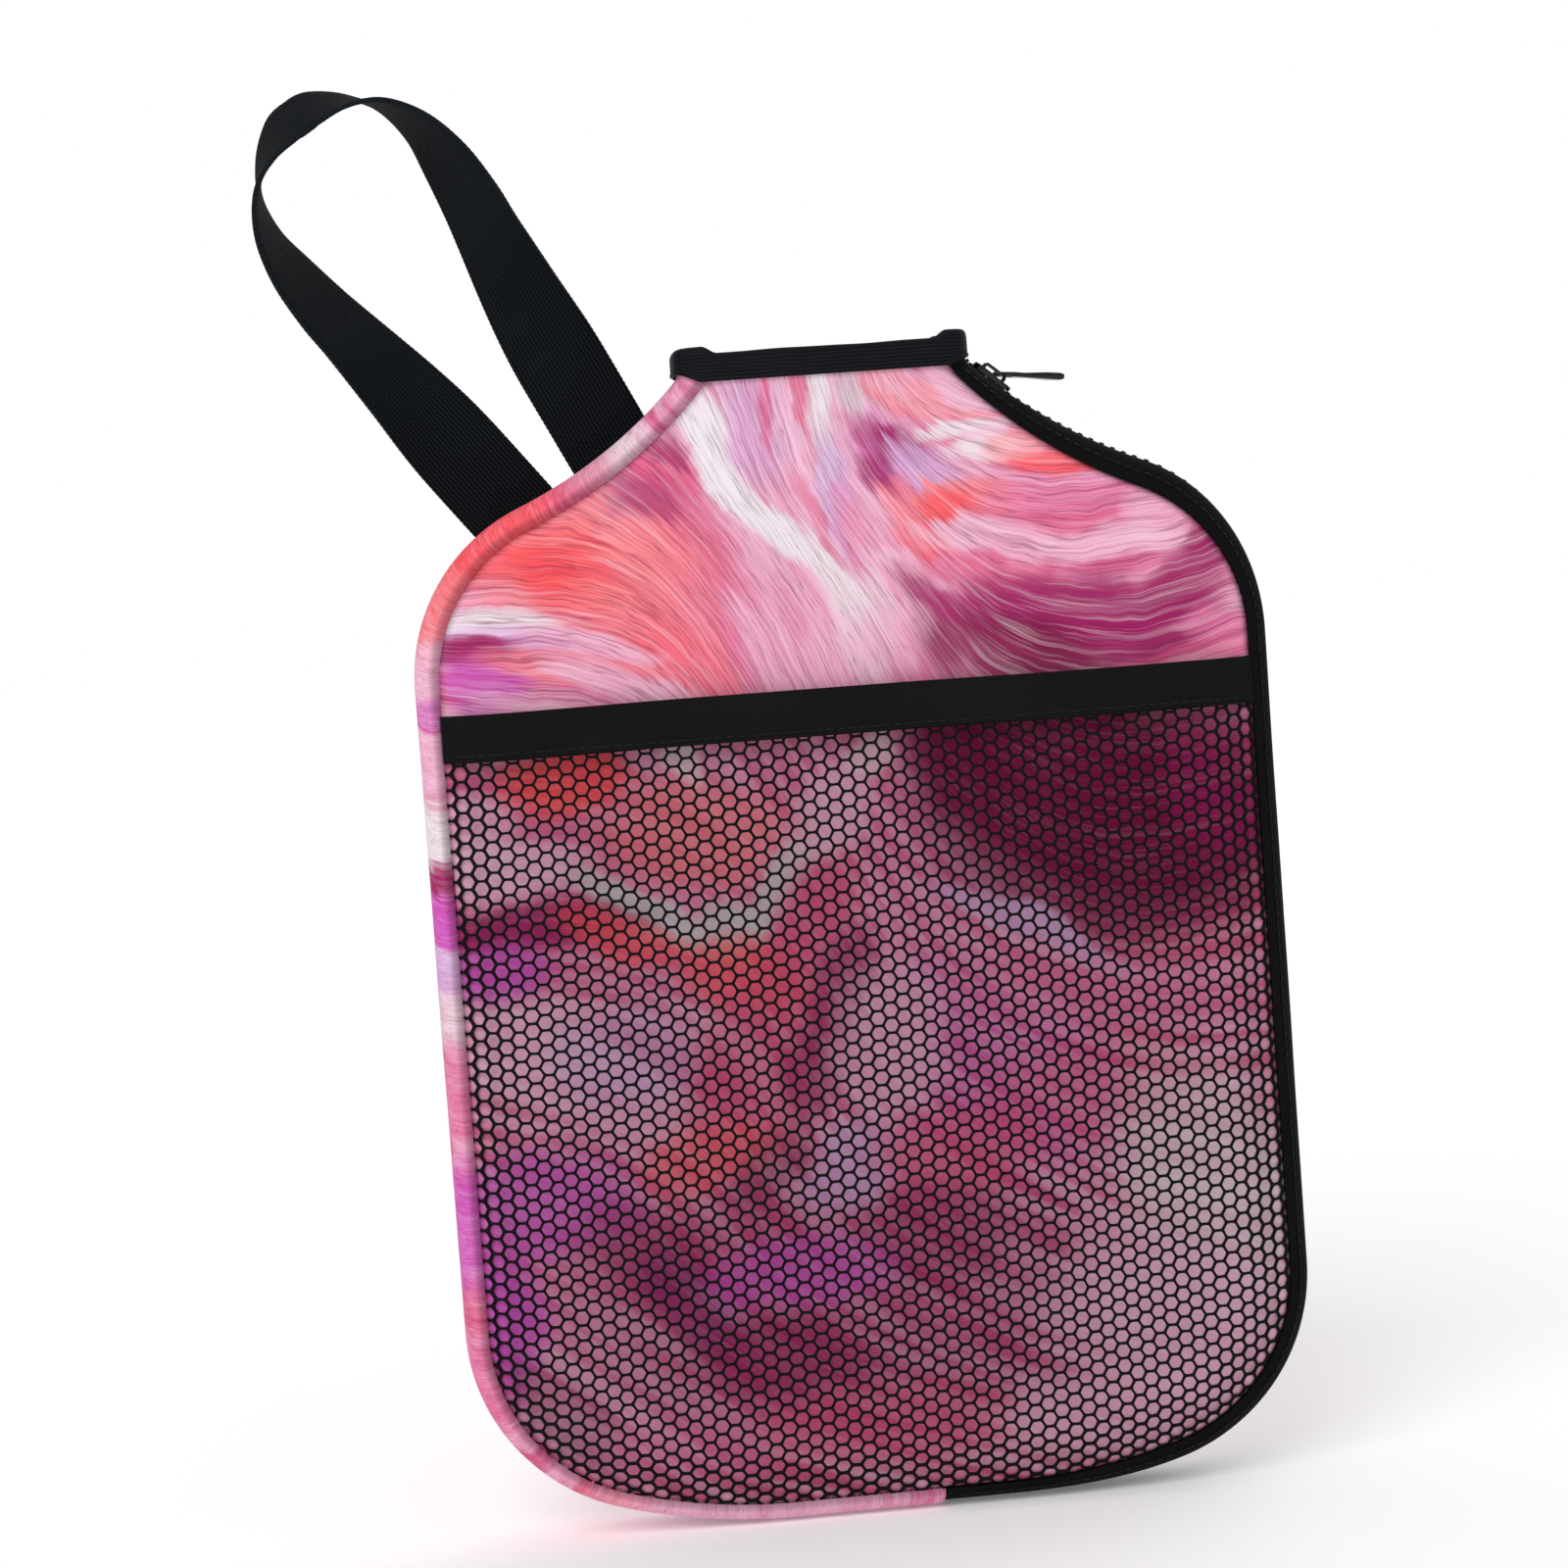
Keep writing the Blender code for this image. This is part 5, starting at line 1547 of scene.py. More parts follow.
@dataclass
class NetPocket:
    """Hexagonal net stretched over the front, gathered under a woven elastic band."""

    seam: SeamLine
    shape: PanelShape
    setter: Setter
    net_finish: bpy.types.Material
    band_finish: bpy.types.Material
    top: float = 225.0 * MM
    band_height: float = 12.7 * MM
    band_thick: float = 1.6 * MM
    cell_radius: float = 2.36 * MM
    hole_radius: float = 1.72 * MM
    hole_corner: float = 1.10
    strand: float = 0.6 * MM

    def cell(self) -> bpy.types.Mesh:
        """One six-sided cell of the net with its rounded hole, lying in XZ."""
        outer = [(self.cell_radius * math.cos(turn), 0.0, self.cell_radius * math.sin(turn))
                 for turn in (math.radians(60 * k) for k in range(6))]
        inner = [(size * math.cos(turn), 0.0, size * math.sin(turn))
                 for size, turn in ((self.hole_radius * (1.0 if k % 2 else self.hole_corner),
                                     math.radians(30 * k)) for k in range(12))]
        faces = []
        for k in range(6):
            a, b = k, (k + 1) % 6
            hole = [6 + (2 * k + step) % 12 for step in range(3)]
            faces += [(a, hole[0], hole[1]), (a, hole[1], b), (b, hole[1], hole[2])]
        mesh = bpy.data.meshes.new("net_cell")
        mesh.from_pydata(outer + inner, [], faces)
        return mesh

    def net(self) -> bpy.types.Object:
        """Knit the net, drape it over the front and draw its edge into the seam.

        Returns:
            The finished piece.
        """
        across, up = 1.5 * self.cell_radius, math.sqrt(3) * self.cell_radius
        bottom = self.top - self.band_height
        spots = []
        for column in range(-33, 34):
            z = np.arange(self.seam.bottom - up, bottom + up, up) + (up / 2 if column % 2 else 0)
            spots.append(np.stack([np.full(len(z), column * across + 0.4 * MM), z], -1))
        flat = np.concatenate(spots)
        inside = (self.seam.depth(flat[:, 0], flat[:, 1]) > -0.4 * self.cell_radius) & (
            flat[:, 1] < bottom + 0.9 * up)
        flat = flat[inside]
        places = np.stack([flat[:, 0], np.zeros(len(flat)), flat[:, 1]], -1)
        piece = self.setter.place("pocket_net", places, np.zeros_like(places), self.cell(),
                                  self.net_finish, merge=0.05 * MM)
        mesh = piece.data
        co = np.empty(len(mesh.vertices) * 3)
        mesh.vertices.foreach_get("co", co)
        co = co.reshape(-1, 3)
        x, z = co[:, 0].copy(), co[:, 2].copy()
        co[:, 0] += 0.30 * MM * ripple(x / (11 * MM), z / (14 * MM), 1.0)
        co[:, 2] += 0.30 * MM * ripple(x / (13 * MM), z / (9 * MM), 4.0)
        co[:, 0] += 0.10 * MM * ripple(x / (2.1 * MM), z / (2.7 * MM), 2.0)
        co[:, 2] += 0.10 * MM * ripple(x / (2.5 * MM), z / (2.2 * MM), 6.0)
        depth = self.seam.depth(co[:, 0], co[:, 2])
        short = np.maximum(0.4 * MM - depth, 0.0)
        _, out = self.seam.find(self.seam.nearest(co[:, 0], co[:, 2]))
        side = np.sign(co[:, 0])
        co[:, 0] -= side * out[:, 0] * short
        co[:, 2] -= out[:, 1] * short
        depth = np.maximum(depth, 0.4 * MM)
        ease_off = ease((bottom + 2 * MM - co[:, 2]) / (60 * MM))
        sag = 0.5 * MM * ripple(x / (38 * MM), z / (47 * MM), 3.0) * ease_off
        co[:, 1] = -(self.shape.pocket(depth) + self.strand / 2
                     + sag * ease(depth / (25 * MM)))
        high = np.maximum(co[:, 2] - (bottom + 2.2 * MM), 0.0)
        co[:, 2] -= high * 0.85
        mesh.vertices.foreach_set("co", co.ravel())
        mesh.update()
        bm = bmesh.new()
        bm.from_mesh(mesh)
        bmesh.ops.dissolve_degenerate(bm, edges=bm.edges, dist=0.03 * MM)
        bmesh.ops.recalc_face_normals(bm, faces=bm.faces)
        bm.faces.ensure_lookup_table()
        if sum(face.normal.y for face in bm.faces) > 0:
            bmesh.ops.reverse_faces(bm, faces=bm.faces)
        bm.to_mesh(mesh)
        bm.free()
        solid = piece.modifiers.new("strands", "SOLIDIFY")
        solid.thickness = self.strand
        solid.offset = 0.0
        bake(piece)
        piece.data.shade_smooth()
        area = sum(face.area for face in piece.data.polygons) / 2
        LOG.info("net: %d triangles, %.4f m2 of strand", sum(
            len(f.vertices) - 2 for f in piece.data.polygons), area)
        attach(piece, "case")
        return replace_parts(piece, "pocket_mesh")

    def band(self) -> bpy.types.Object:
        """The elastic band along the pocket's mouth.

        Returns:
            The finished piece.
        """
        edge = self.seam.half_width - 0.3 * MM
        x = np.concatenate([np.linspace(-edge, -edge + 20 * MM, 41)[:-1],
                            np.linspace(-edge + 20 * MM, edge - 20 * MM, 140),
                            np.linspace(edge - 20 * MM, edge, 41)[1:]])
        depth = np.maximum(edge + 0.3 * MM - np.abs(x), 0.0)
        back = -self.shape.pocket(depth)
        half, thick, round_off = self.band_height / 2, self.band_thick, 0.55 * MM
        outline = [(-half, 0.05), (-half, 0.6), (-half + 0.25 * round_off, 0.88),
                   (-half + round_off, 1.0)]
        outline += [(z, 1.0) for z in np.linspace(-half + 2 * round_off, half - 2 * round_off, 11)]
        outline += [(-z, y) for z, y in outline[3::-1]]
        outline += [(half - 0.6 * MM, 0.0), (0.0, 0.0), (-half + 0.6 * MM, 0.0)]
        profile = np.array(outline)
        wave = 0.22 * MM * ripple(x / (26 * MM), 0.0 * x, 5.0)
        z = self.top - half + profile[None, :, 0] + wave[:, None]
        bulge = 0.14 * MM * np.cos(profile[None, :, 0] / half * math.pi / 2) * (
            profile[None, :, 1] > 0.9)
        y = back[:, None] - thick * profile[None, :, 1] - bulge
        grid = np.stack([np.broadcast_to(x[:, None], y.shape), y, z], -1)
        maps = {"weave": np.stack([grid[..., 0] / MM, (grid[..., 2] + grid[..., 1]) / MM], -1)}
        piece = skin("elastic_band", grid, maps=maps)
        piece.data.materials.append(self.band_finish)
        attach(piece, "case")
        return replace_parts(piece, "pocket_elastic_band")

    def band_seams(self) -> list[tuple[Array, Array]]:
        """The row of stitches along the band's lower edge."""
        rows = []
        x = np.linspace(-self.seam.half_width + 4 * MM, self.seam.half_width - 4 * MM, 300)
        depth = self.seam.half_width - np.abs(x)
        y = -(self.shape.pocket(depth) + self.band_thick + 0.02 * MM)
        for z in (self.top - self.band_height + 1.7 * MM,):
            line = np.stack([x, y, np.full(len(x), z)], -1)
            rows.append((line, np.tile((0.0, -1.0, 0.0), (len(x), 1))))
        return rows


# ------------------------------------------------------------------ zipper

@dataclass
class Zipper:
    """Two woven tapes with moulded teeth, from the neck to the middle of the bottom."""

    seam: SeamLine
    chain: ChainLine
    setter: Setter
    tape_finish: bpy.types.Material
    tooth_finish: bpy.types.Material
    seam_out: float = 13.7 * MM
    tape_thick: float = 0.9 * MM
    tape_flat: float = 6.6 * MM
    half_width: float = 2.7 * MM
    half_height: float = 1.2 * MM
    reach: float = 0.9 * MM
    pitch: float = 3.4 * MM
    tooth_length: float = 1.5 * MM
    start: float = 9.9 * MM
    stop_space: float = 3.1 * MM
    travel: float = 40.0 * MM

    @property
    def end(self) -> float:
        """Where the tapes end, near the middle of the bottom."""
        return self.seam.length - 10.8 * MM

    def tape(self, side: Side) -> bpy.types.Object:
        """One tape: a beaded edge among the teeth, level, then down into the seam.

        Args:
            side: Which tape.

        Returns:
            The finished piece.
        """
        along = np.concatenate([np.arange(0.3 * MM, 30 * MM, 0.8 * MM),
                                np.arange(30 * MM, self.end, 1.6 * MM), [self.end]])
        lift, spread = self.chain.lift(along), self.chain.spread(along)
        turn = np.radians(np.linspace(0, 90, 10))
        inner = self.half_width - 0.15 * MM + spread
        half = self.tape_thick / 2

        def level(offset: float) -> Array:
            """The face at an offset from the tape's middle, from the bead to the seam."""
            ends = np.linspace(0.0, 1.0, 5)[None, :]
            y0 = inner[:, None] + (self.tape_flat - inner[:, None]) * ends
            n0 = np.broadcast_to((lift + offset)[:, None], y0.shape)
            rise = (lift + offset)[:, None]
            n1 = -0.25 * MM + (rise + 0.25 * MM) * np.cos(turn)[None, 1:]
            drop = self.seam_out - 0.9 * MM - self.tape_flat + offset
            y1 = self.tape_flat + drop * np.sin(turn)[None, 1:] + 0 * rise
            return np.stack([np.concatenate([n0, n1], 1), np.concatenate([y0, y1], 1)], -1)

        upper, lower = level(half), level(-half)
        bead = []
        for angle in np.radians(np.linspace(-90, -270, 9)[1:-1]):
            bead.append(np.stack([lift - 0.75 * MM * math.sin(angle) * -1,
                                  inner - 0.05 * MM + 0.75 * MM * math.cos(angle)], -1))
        bead = np.stack(bead, 1)[:, ::1]
        ring = np.concatenate([upper, lower[:, ::-1], bead], axis=1)
        uneven = 0.10 * MM * ripple(along[:, None] / (17 * MM), ring[..., 1] / (5 * MM), 8.0)
        fade = ease((ring[..., 1] - 4.5 * MM) / (3 * MM)) * ease(
            (12.5 * MM - ring[..., 1]) / (3 * MM))
        grid = self.seam.spots(along[:, None], ring[..., 0] + uneven * fade,
                               side.value * ring[..., 1])
        across = np.cumsum(np.linalg.norm(np.diff(ring, axis=1, prepend=ring[:, :1]), axis=-1), 1)
        maps = {"weave": np.stack([np.broadcast_to(along[:, None] / MM, across.shape),
                                   across / MM], -1)}
        piece = skin(f"zipper_tape_{side.word}_woven", grid, maps=maps)
        piece.data.materials.append(self.tape_finish)
        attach(piece, "case")
        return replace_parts(piece, f"zipper_tape_{side.word}")

    def tooth(self, side: Side) -> bpy.types.Mesh:
        """One moulded tooth: a pin-shouldered head, a neck and a foot that grips the bead."""
        half = self.tooth_length / 2
        outline = [(0.30, -0.9), (0.78, -0.72), (1.0, -0.3), (1.0, 0.15), (0.74, 0.62),
                   (0.70, 1.2), (0.98, 1.75), (1.0, 2.6), (0.80, 3.25), (0.35, 3.5)]
        across = outline + [(-x, y) for x, y in outline[::-1]]
        heights = ((-1.0, 0.62), (-0.72, 1.0), (0.72, 1.0), (1.0, 0.62))
        rows = []
        for level, size in heights:
            rows.append([(x * half * (0.55 + 0.45 * size), side.value * (
                y * MM * (0.82 + 0.18 * size) + 0.18 * (1 - size) * MM),
                level * self.half_height * (1.0 if y > 0.9 else 0.86)) for x, y in across])
        count = len(across)
        faces = [[r * count + k, r * count + (k + 1) % count, (r + 1) * count + (k + 1) % count,
                  (r + 1) * count + k] for r in range(3) for k in range(count)]
        faces += [list(range(count))[::-1], [3 * count + k for k in range(count)]]
        mesh = bpy.data.meshes.new("tooth")
        mesh.from_pydata([p for row in rows for p in row], [], faces)
        face_out(mesh)
        mesh.shade_smooth()
        mesh.set_sharp_from_angle(angle=math.radians(40))
        return mesh

    def teeth(self, side: Side) -> list[bpy.types.Object]:
        """One row of teeth, with the stretch that the slider opens as a piece of its own.

        Args:
            side: Which row.

        Returns:
            The standing row and the opening row.
        """
        first = self.start + self.pitch * (0.25 if side is Side.FRONT else 0.75)
        last = self.end - self.stop_space - self.tooth_length
        along = np.arange(first, last, self.pitch)
        middle = self.chain.slider_at
        opens = (along > middle - 2 * MM) & (along < middle + self.travel - 1 * MM)
        made = []
        for name, chosen in (("standing", ~opens), ("opening", opens)):
            places = along[chosen]
            lift, spread = self.chain.lift(places), self.chain.spread(places)
            spots = self.seam.spots(places, lift, side.value * spread)
            _, out = self.seam.find(places)
            turns = np.stack([0 * places, np.arctan2(out[:, 0], out[:, 1]), 0 * places], -1)
            piece = self.setter.place(f"teeth_{side.word}_{name}", spots, turns,
                                      self.tooth(side), self.tooth_finish)
            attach(piece, "case")
            made.append(piece)
        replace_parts(made[0], f"zipper_teeth_{side.word}")
        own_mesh(made[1])
        return made

    def tape_seams(self, side: Side) -> list[tuple[Array, Array]]:
        """The row of stitches that holds a tape to its face."""
        along = np.linspace(9.0 * MM, self.end - 2 * MM, 900)
        lift = self.chain.lift(along)
        turn = math.radians(62)
        half = self.tape_thick / 2
        rise = -0.25 * MM + (lift + half + 0.25 * MM) * math.cos(turn) + 0.05 * MM
        y = self.tape_flat + (self.seam_out - 0.9 * MM - self.tape_flat + half) * math.sin(turn)
        line = self.seam.spots(along, rise, side.value * (y + 0.04 * MM))
        _, out = self.seam.find(along)
        outs = np.stack([out[:, 0] * 0.72, np.full(len(along), side.value * 0.7),
                         out[:, 1] * 0.72], -1)
        return [(line, outs)]


# ------------------------------------------------------------------ neck binding

@dataclass
class NeckBinding:
    """Tape folded over the mouth's raw edge, thicker where it turns the neck's corners."""

    seam: SeamLine
    finish: bpy.types.Material
    thick: float = 1.0 * MM
    drop: float = 6.4 * MM
    gap: float = 0.3 * MM
    bump: float = 2.0 * MM
    bump_fade: float = 4.0 * MM
    mouth: float = 4.45 * MM
    seam_out: float = 13.7 * MM
    wall: float = 11.85 * MM
    foam: float = 4.0 * MM
    gusset_foam: float = 3.5 * MM
    gusset_lift: float = 6.0 * MM
    chain_lift: float = 4.5 * MM
    tape: float = 1.0 * MM
    tape_flat: float = 6.6 * MM

    def line(self) -> Array:
        """The mouth's middle line: share across the neck, place past its edge, Y, half room."""
        room = self.foam / 2 + self.gap
        tape_room = self.tape / 2 + self.gap
        middle = self.seam_out - self.gusset_foam / 2 - 8.0 * MM
        bow = self.gusset_lift - self.gusset_foam / 2 - self.gap
        half = [(-1.0, -self.gap - bow * math.cos(turn), 8.0 * MM + middle * math.sin(turn), room)
                for turn in (math.radians(step) for step in (0, 30, 60, 85))]
        half += [(-1.0, 0, self.wall, room), (-0.85, 0, self.wall, room),
                 (-0.4, 0, self.wall, room), (0.0, 0, self.wall, room), (0.4, 0, self.wall, room),
                 (0.85, 0, self.wall, room), (1.0, 2 * self.gap, self.wall, room)]
        level = self.seam_out - self.tape / 2 - self.tape_flat
        half += [(1.0, self.gap + (self.chain_lift - self.gap) * math.sin(turn),
                  self.tape_flat + level * math.cos(turn),
                  tape_room * (1.5 - turn / math.pi))
                 for turn in (math.radians(step) for step in (30, 50, 70, 90))]
        half.append((1.0, self.chain_lift, self.mouth, tape_room))
        rows = np.array([(s, n, -y, r) for s, n, y, r in half[::-1]] + half)
        return rows

    def build(self) -> tuple[bpy.types.Object, list[tuple[Array, Array]]]:
        """Fold the tape over the mouth.

        Returns:
            The piece, and the lines of its stitches with their outward steps.
        """
        rows = self.line()
        place = np.stack([rows[:, 0] * self.seam.neck_half_width + rows[:, 1], rows[:, 2]], -1)
        lengths = np.concatenate([[0], np.cumsum(np.linalg.norm(np.diff(place, axis=0), axis=1))])
        fine = np.arange(0, lengths[-1], 0.7 * MM)
        fine = np.append(fine, lengths[-1])
        place = np.stack([np.interp(fine, lengths, place[:, k]) for k in (0, 1)], -1)
        room = np.interp(fine, lengths, rows[:, 3])
        for _ in range(12):
            place[1:-1] = (place[:-2] + 2 * place[1:-1] + place[2:]) / 4
            room[1:-1] = (room[:-2] + 2 * room[1:-1] + room[2:]) / 4
        step = np.gradient(place, axis=0)
        step /= np.linalg.norm(step, axis=1, keepdims=True)
        out = np.stack([step[:, 1], -step[:, 0]], -1)
        over = np.abs(place[:, 0]) - self.seam.neck_half_width
        rise = self.thick + self.gap + self.bump * ease(1 + over / self.bump_fade) * ease(
            1 - (over - self.bump_fade) / self.bump_fade)
        rise = rise + 0.16 * MM * ripple(fine / (6 * MM), 0 * fine, 3.0)
        wide = room + self.thick
        arc = np.radians(np.linspace(0, 180, 13))
        profile = []
        for share in np.linspace(0.0, 1.0, 7):
            profile.append((wide, self.drop * (1 - share) - 0.2 * MM * share))
        for turn in arc:
            profile.append((wide * np.sign(math.cos(turn)) * abs(math.cos(turn)) ** 0.55,
                            -0.2 * MM - (rise - 0.2 * MM) * math.sin(turn) ** 0.7))
        for share in np.linspace(0.0, 1.0, 7):
            profile.append((-wide, -0.2 * MM * (1 - share) + self.drop * share))
        profile += [(-wide + 0.35 * MM, self.drop + 0.12 * MM), (-room, self.drop),
                    (-room, -self.gap), (room, -self.gap), (room, self.drop),
                    (wide - 0.35 * MM, self.drop + 0.12 * MM)]
        grid = []
        for away, drop in profile:
            away = np.broadcast_to(away, fine.shape)
            drop = np.broadcast_to(drop, fine.shape).astype(float)
            sewn = np.exp(-((drop - (self.drop - 1.7 * MM)) / (0.9 * MM)) ** 2)
            away = away - np.sign(away) * 0.18 * MM * sewn * (np.abs(away) > room + 0.5 * MM)
            grid.append(self._bend(place + out * away[:, None], drop))
        grid = np.stack(grid, 1)
        weave = np.stack([np.broadcast_to(fine[:, None] / MM, grid.shape[:2]),
                          np.broadcast_to(np.cumsum(np.ones(len(profile)))[None, :],
                                          grid.shape[:2])], -1)
        piece = skin("neck_binding_tape", grid, maps={"weave": weave})
        piece.data.materials.append(self.finish)
        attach(piece, "case")
        rows_of_stitch = []
        for sign in (1.0, -1.0):
            low = np.full(fine.shape, self.drop - 1.7 * MM)
            line = self._bend(place + out * (sign * (wide - 0.14 * MM))[:, None], low)
            face = self._bend(place + out * (sign * (wide + 2 * MM))[:, None], low) - line
            face /= np.linalg.norm(face, axis=1, keepdims=True)
            rows_of_stitch.append((line[3:-3], face[3:-3]))
        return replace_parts(piece, "neck_binding"), rows_of_stitch

    def _bend(self, place: Array, drop: Array) -> Array:
        """Bend the flat plan of the mouth down the seam line."""
        point, out = self.seam.find(drop)
        over = np.abs(place[:, 0]) - self.seam.neck_half_width
        side = np.where(place[:, 0] >= 0, 1.0, -1.0)
        held = np.maximum(over, 0.0)
        inner = point[:, 0] * place[:, 0] / self.seam.neck_half_width
        x = np.where(over <= 0, inner, side * (point[:, 0] + held * out[:, 0]))
        z = point[:, 1] + np.where(over <= 0, 0.0, held * out[:, 1])
        # above the panel's top the line runs on straight up
        past = np.minimum(drop, 0.0)
        return np.stack([x, place[:, 1], np.where(drop < 0, self.seam.top - past, z)], -1)


# ------------------------------------------------------------------ carrying loop

@dataclass
class CarryingLoop:
    """Webbing loop sewn to the back of the left shoulder."""

    finish: bpy.types.Material
    width: float = 25.0 * MM
    thick: float = 1.6 * MM
    foot: tuple[float, float, float] = (-72.2 * MM, 15.2 * MM, 287.3 * MM)
    lean: float = math.radians(122.1)
    top: tuple[float, float, float] = (120.0, 0.0, 120.0)
    route: tuple[tuple[float, float, float], ...] = (
        (-6.5, 15.4, 0.0), (7.0, 16.8, 0.0), (21.0, 18.2, 4.0), (42.0, 20.3, 28.0),
        (62.0, 23.0, 45.0), (74.0, 24.8, 52.0), (87.0, 25.7, 61.0), (99.0, 24.8, 75.0),
        (109.5, 20.4, 90.0), (116.0, 13.0, 105.0), (119.5, 5.0, 118.0))
    fineness: int = 36

    def frames(self) -> tuple[Array, Array, Array, Array]:
        """Middles of the loop's sections, with their across and thick steps and lengths."""
        half = np.array(self.route)
        turn = np.concatenate([half, [self.top], half[::-1] * (1, -1, 1)])
        # the twist goes on past the top, so that both halves share one curve
        knots = np.arange(len(turn), dtype=float)
        fine = np.linspace(0, len(turn) - 1, (len(turn) - 1) * self.fineness + 1)
        line = np.stack([smooth_through(knots, turn[:, k], fine) for k in range(3)], -1)
        up = np.array((math.cos(self.lean), 0.0, math.sin(self.lean)))
        across = np.array((-up[2], 0.0, up[0]))
        back = np.array((0.0, 1.0, 0.0))
        step = np.gradient(line[:, :2], axis=0)
        ends = ease(np.minimum(np.arange(len(line)), np.arange(len(line))[::-1]) / (
            1.0 * self.fineness))
        square = np.sign(step[:, :1]) * np.array((1.0, 0.0))
        step /= np.linalg.norm(step, axis=1, keepdims=True)
        step = step * ends[:, None] + square * (1 - ends[:, None])
        along = step[:, :1] * up + step[:, 1:2] * across
        along /= np.linalg.norm(along, axis=1, keepdims=True)
        outward = -np.cross(along, back)
        twist = np.radians(line[:, 2])[:, None]
        wide = outward * np.cos(twist) + back * np.sin(twist)
        thick = np.cross(along, wide)
        thick /= np.linalg.norm(thick, axis=1, keepdims=True)
        middle = np.array(self.foot) + (up * line[:, :1] + across * line[:, 1:2]) * MM
        lengths = np.concatenate([[0], np.cumsum(np.linalg.norm(np.diff(middle, axis=0), axis=1))])
        return middle, wide, thick, lengths

    def build(self) -> tuple[bpy.types.Object, list[tuple[Array, Array]]]:
        """Weave the loop.

        Returns:
            The piece, and the lines of its stitches with their outward steps.
        """
        middle, wide, thick, lengths = self.frames()
        fine = np.arange(0, lengths[-1], 0.47 * MM)
        middle, wide, thick = [np.stack([np.interp(fine, lengths, part[:, k])
                                         for k in range(3)], -1)
                               for part in (middle, wide, thick)]
        half, depth = self.width / 2, self.thick / 2
        nick = 0.16 * MM * np.abs(np.sin(fine * math.pi / (1.4 * MM)))
        flat = np.linspace(-1, 1, 15)
        profile = [(x, 1.0) for x in flat[1:-1] * (half - 1.0 * MM) / half]
        profile += [(1 - 0.028, 0.86), (1.0, 0.35), (1.0, -0.35), (1 - 0.028, -0.86)]
        profile += [(-x, -y) for x, y in profile]
        profile = np.array(profile)
        edge = np.abs(profile[:, 0]) > 0.96
        wide_by = profile[None, :, 0] * (half - nick[:, None] * edge[None, :])
        cup = 0.10 * MM * np.cos(profile[None, :, 0] * math.pi) * ease(fine / (12 * MM))[:, None]
        thick_by = profile[None, :, 1] * depth * 0.94 + cup * 0.5
        grid = (middle[:, None, :] + wide[:, None, :] * wide_by[..., None]
                + thick[:, None, :] * thick_by[..., None])
        maps = {"weave": np.stack([np.broadcast_to(fine[:, None] / MM, wide_by.shape),
                                   np.broadcast_to(profile[None, :, 0] * half / MM,
                                                   wide_by.shape)], -1)}
        piece = skin("carrying_loop_webbing", grid, maps=maps)
        piece.data.materials.append(self.finish)
        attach(piece, "strap")
        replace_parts(piece, "strap_webbing")
        rows = []
        for first, last in ((0, 13), (len(fine) - 14, len(fine) - 1)):
            for share in (-0.78, 0.78):
                for face in (1.0, -1.0):
                    chosen = slice(first, last + 1)
                    line = (middle[chosen] + wide[chosen] * share * half
                            + thick[chosen] * face * (depth - 0.25 * MM))
                    rows.append((line, thick[chosen] * face))
        for index in (3, 12, len(fine) - 13, len(fine) - 4):
            for face in (1.0, -1.0):
                span = np.linspace(-0.78, 0.78, 30)[:, None] * half
                line = middle[index] + wide[index] * span + thick[index] * face * (depth - 0.25 * MM)
                rows.append((line, np.tile(thick[index] * face, (30, 1))))
        return piece, rows


# ------------------------------------------------------------------ hardware

@dataclass
class Hardware:
    """The slider with its pull, and the stops."""

    lacquer: bpy.types.Material
    resin: bpy.types.Material
    binding: bpy.types.Material

    def build(self, nodes: dict[str, bpy.types.Object]) -> None:
        """Round the slider's and the pull's edges and dress what the frame already shapes.

        Args:
            nodes: The frame's objects by node.
        """
        for node, name, body, width in (("zipper_slider", "slider_body", "slider", 0.16 * MM),
                                        ("zipper_pull", "slider_pull", "pull", 0.28 * MM)):
            piece = softened_copy(nodes[node], name, width)
            piece.data.materials.append(self.lacquer)
            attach(piece, body)
            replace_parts(piece, node)
        for node in ("top_stop_front", "top_stop_back", "bottom_stop"):
            self._dress(nodes[node], self.resin, "black_resin")
        for node in ("seam_binding_front", "seam_binding_back"):
            self._dress(nodes[node], self.binding, "black_binding")

    @staticmethod
    def _dress(piece: bpy.types.Object, finish: bpy.types.Material, slot: str) -> None:
        """Give a frame node its finish."""
        piece.data.materials.clear()
        piece.data.materials.append(finish)


@dataclass(frozen=True)
class Lining:
    """Grosgrain tape round the raw seams inside."""

    name: str = "lining_tape"

    def make(self) -> bpy.types.Material:
        """Fine cross ribs read from the place on the object."""
        r = Recipe(self.name)
        x, y, z = r.place()
        rib = ((x + z) * (math.tau / (0.8 * MM))).sin() * (y * (math.tau / (0.5 * MM))).sin()
        fuzz = r.noise(r.places, 1400.0, 2.0)
        # Painted shade: the tape is darker in the low places of its ribs and lighter on them, following
        # the bump.
        colour = r.mix((rib * 0.5 + fuzz).ramp(0.1, 1.1), dye(10, 10, 11), dye(34, 33, 35))
        return r.done(colour, 0.75 + fuzz * 0.15, r.bump(rib * 0.4 + fuzz, 0.08 * MM, 0.6))


# ------------------------------------------------------------------ stage

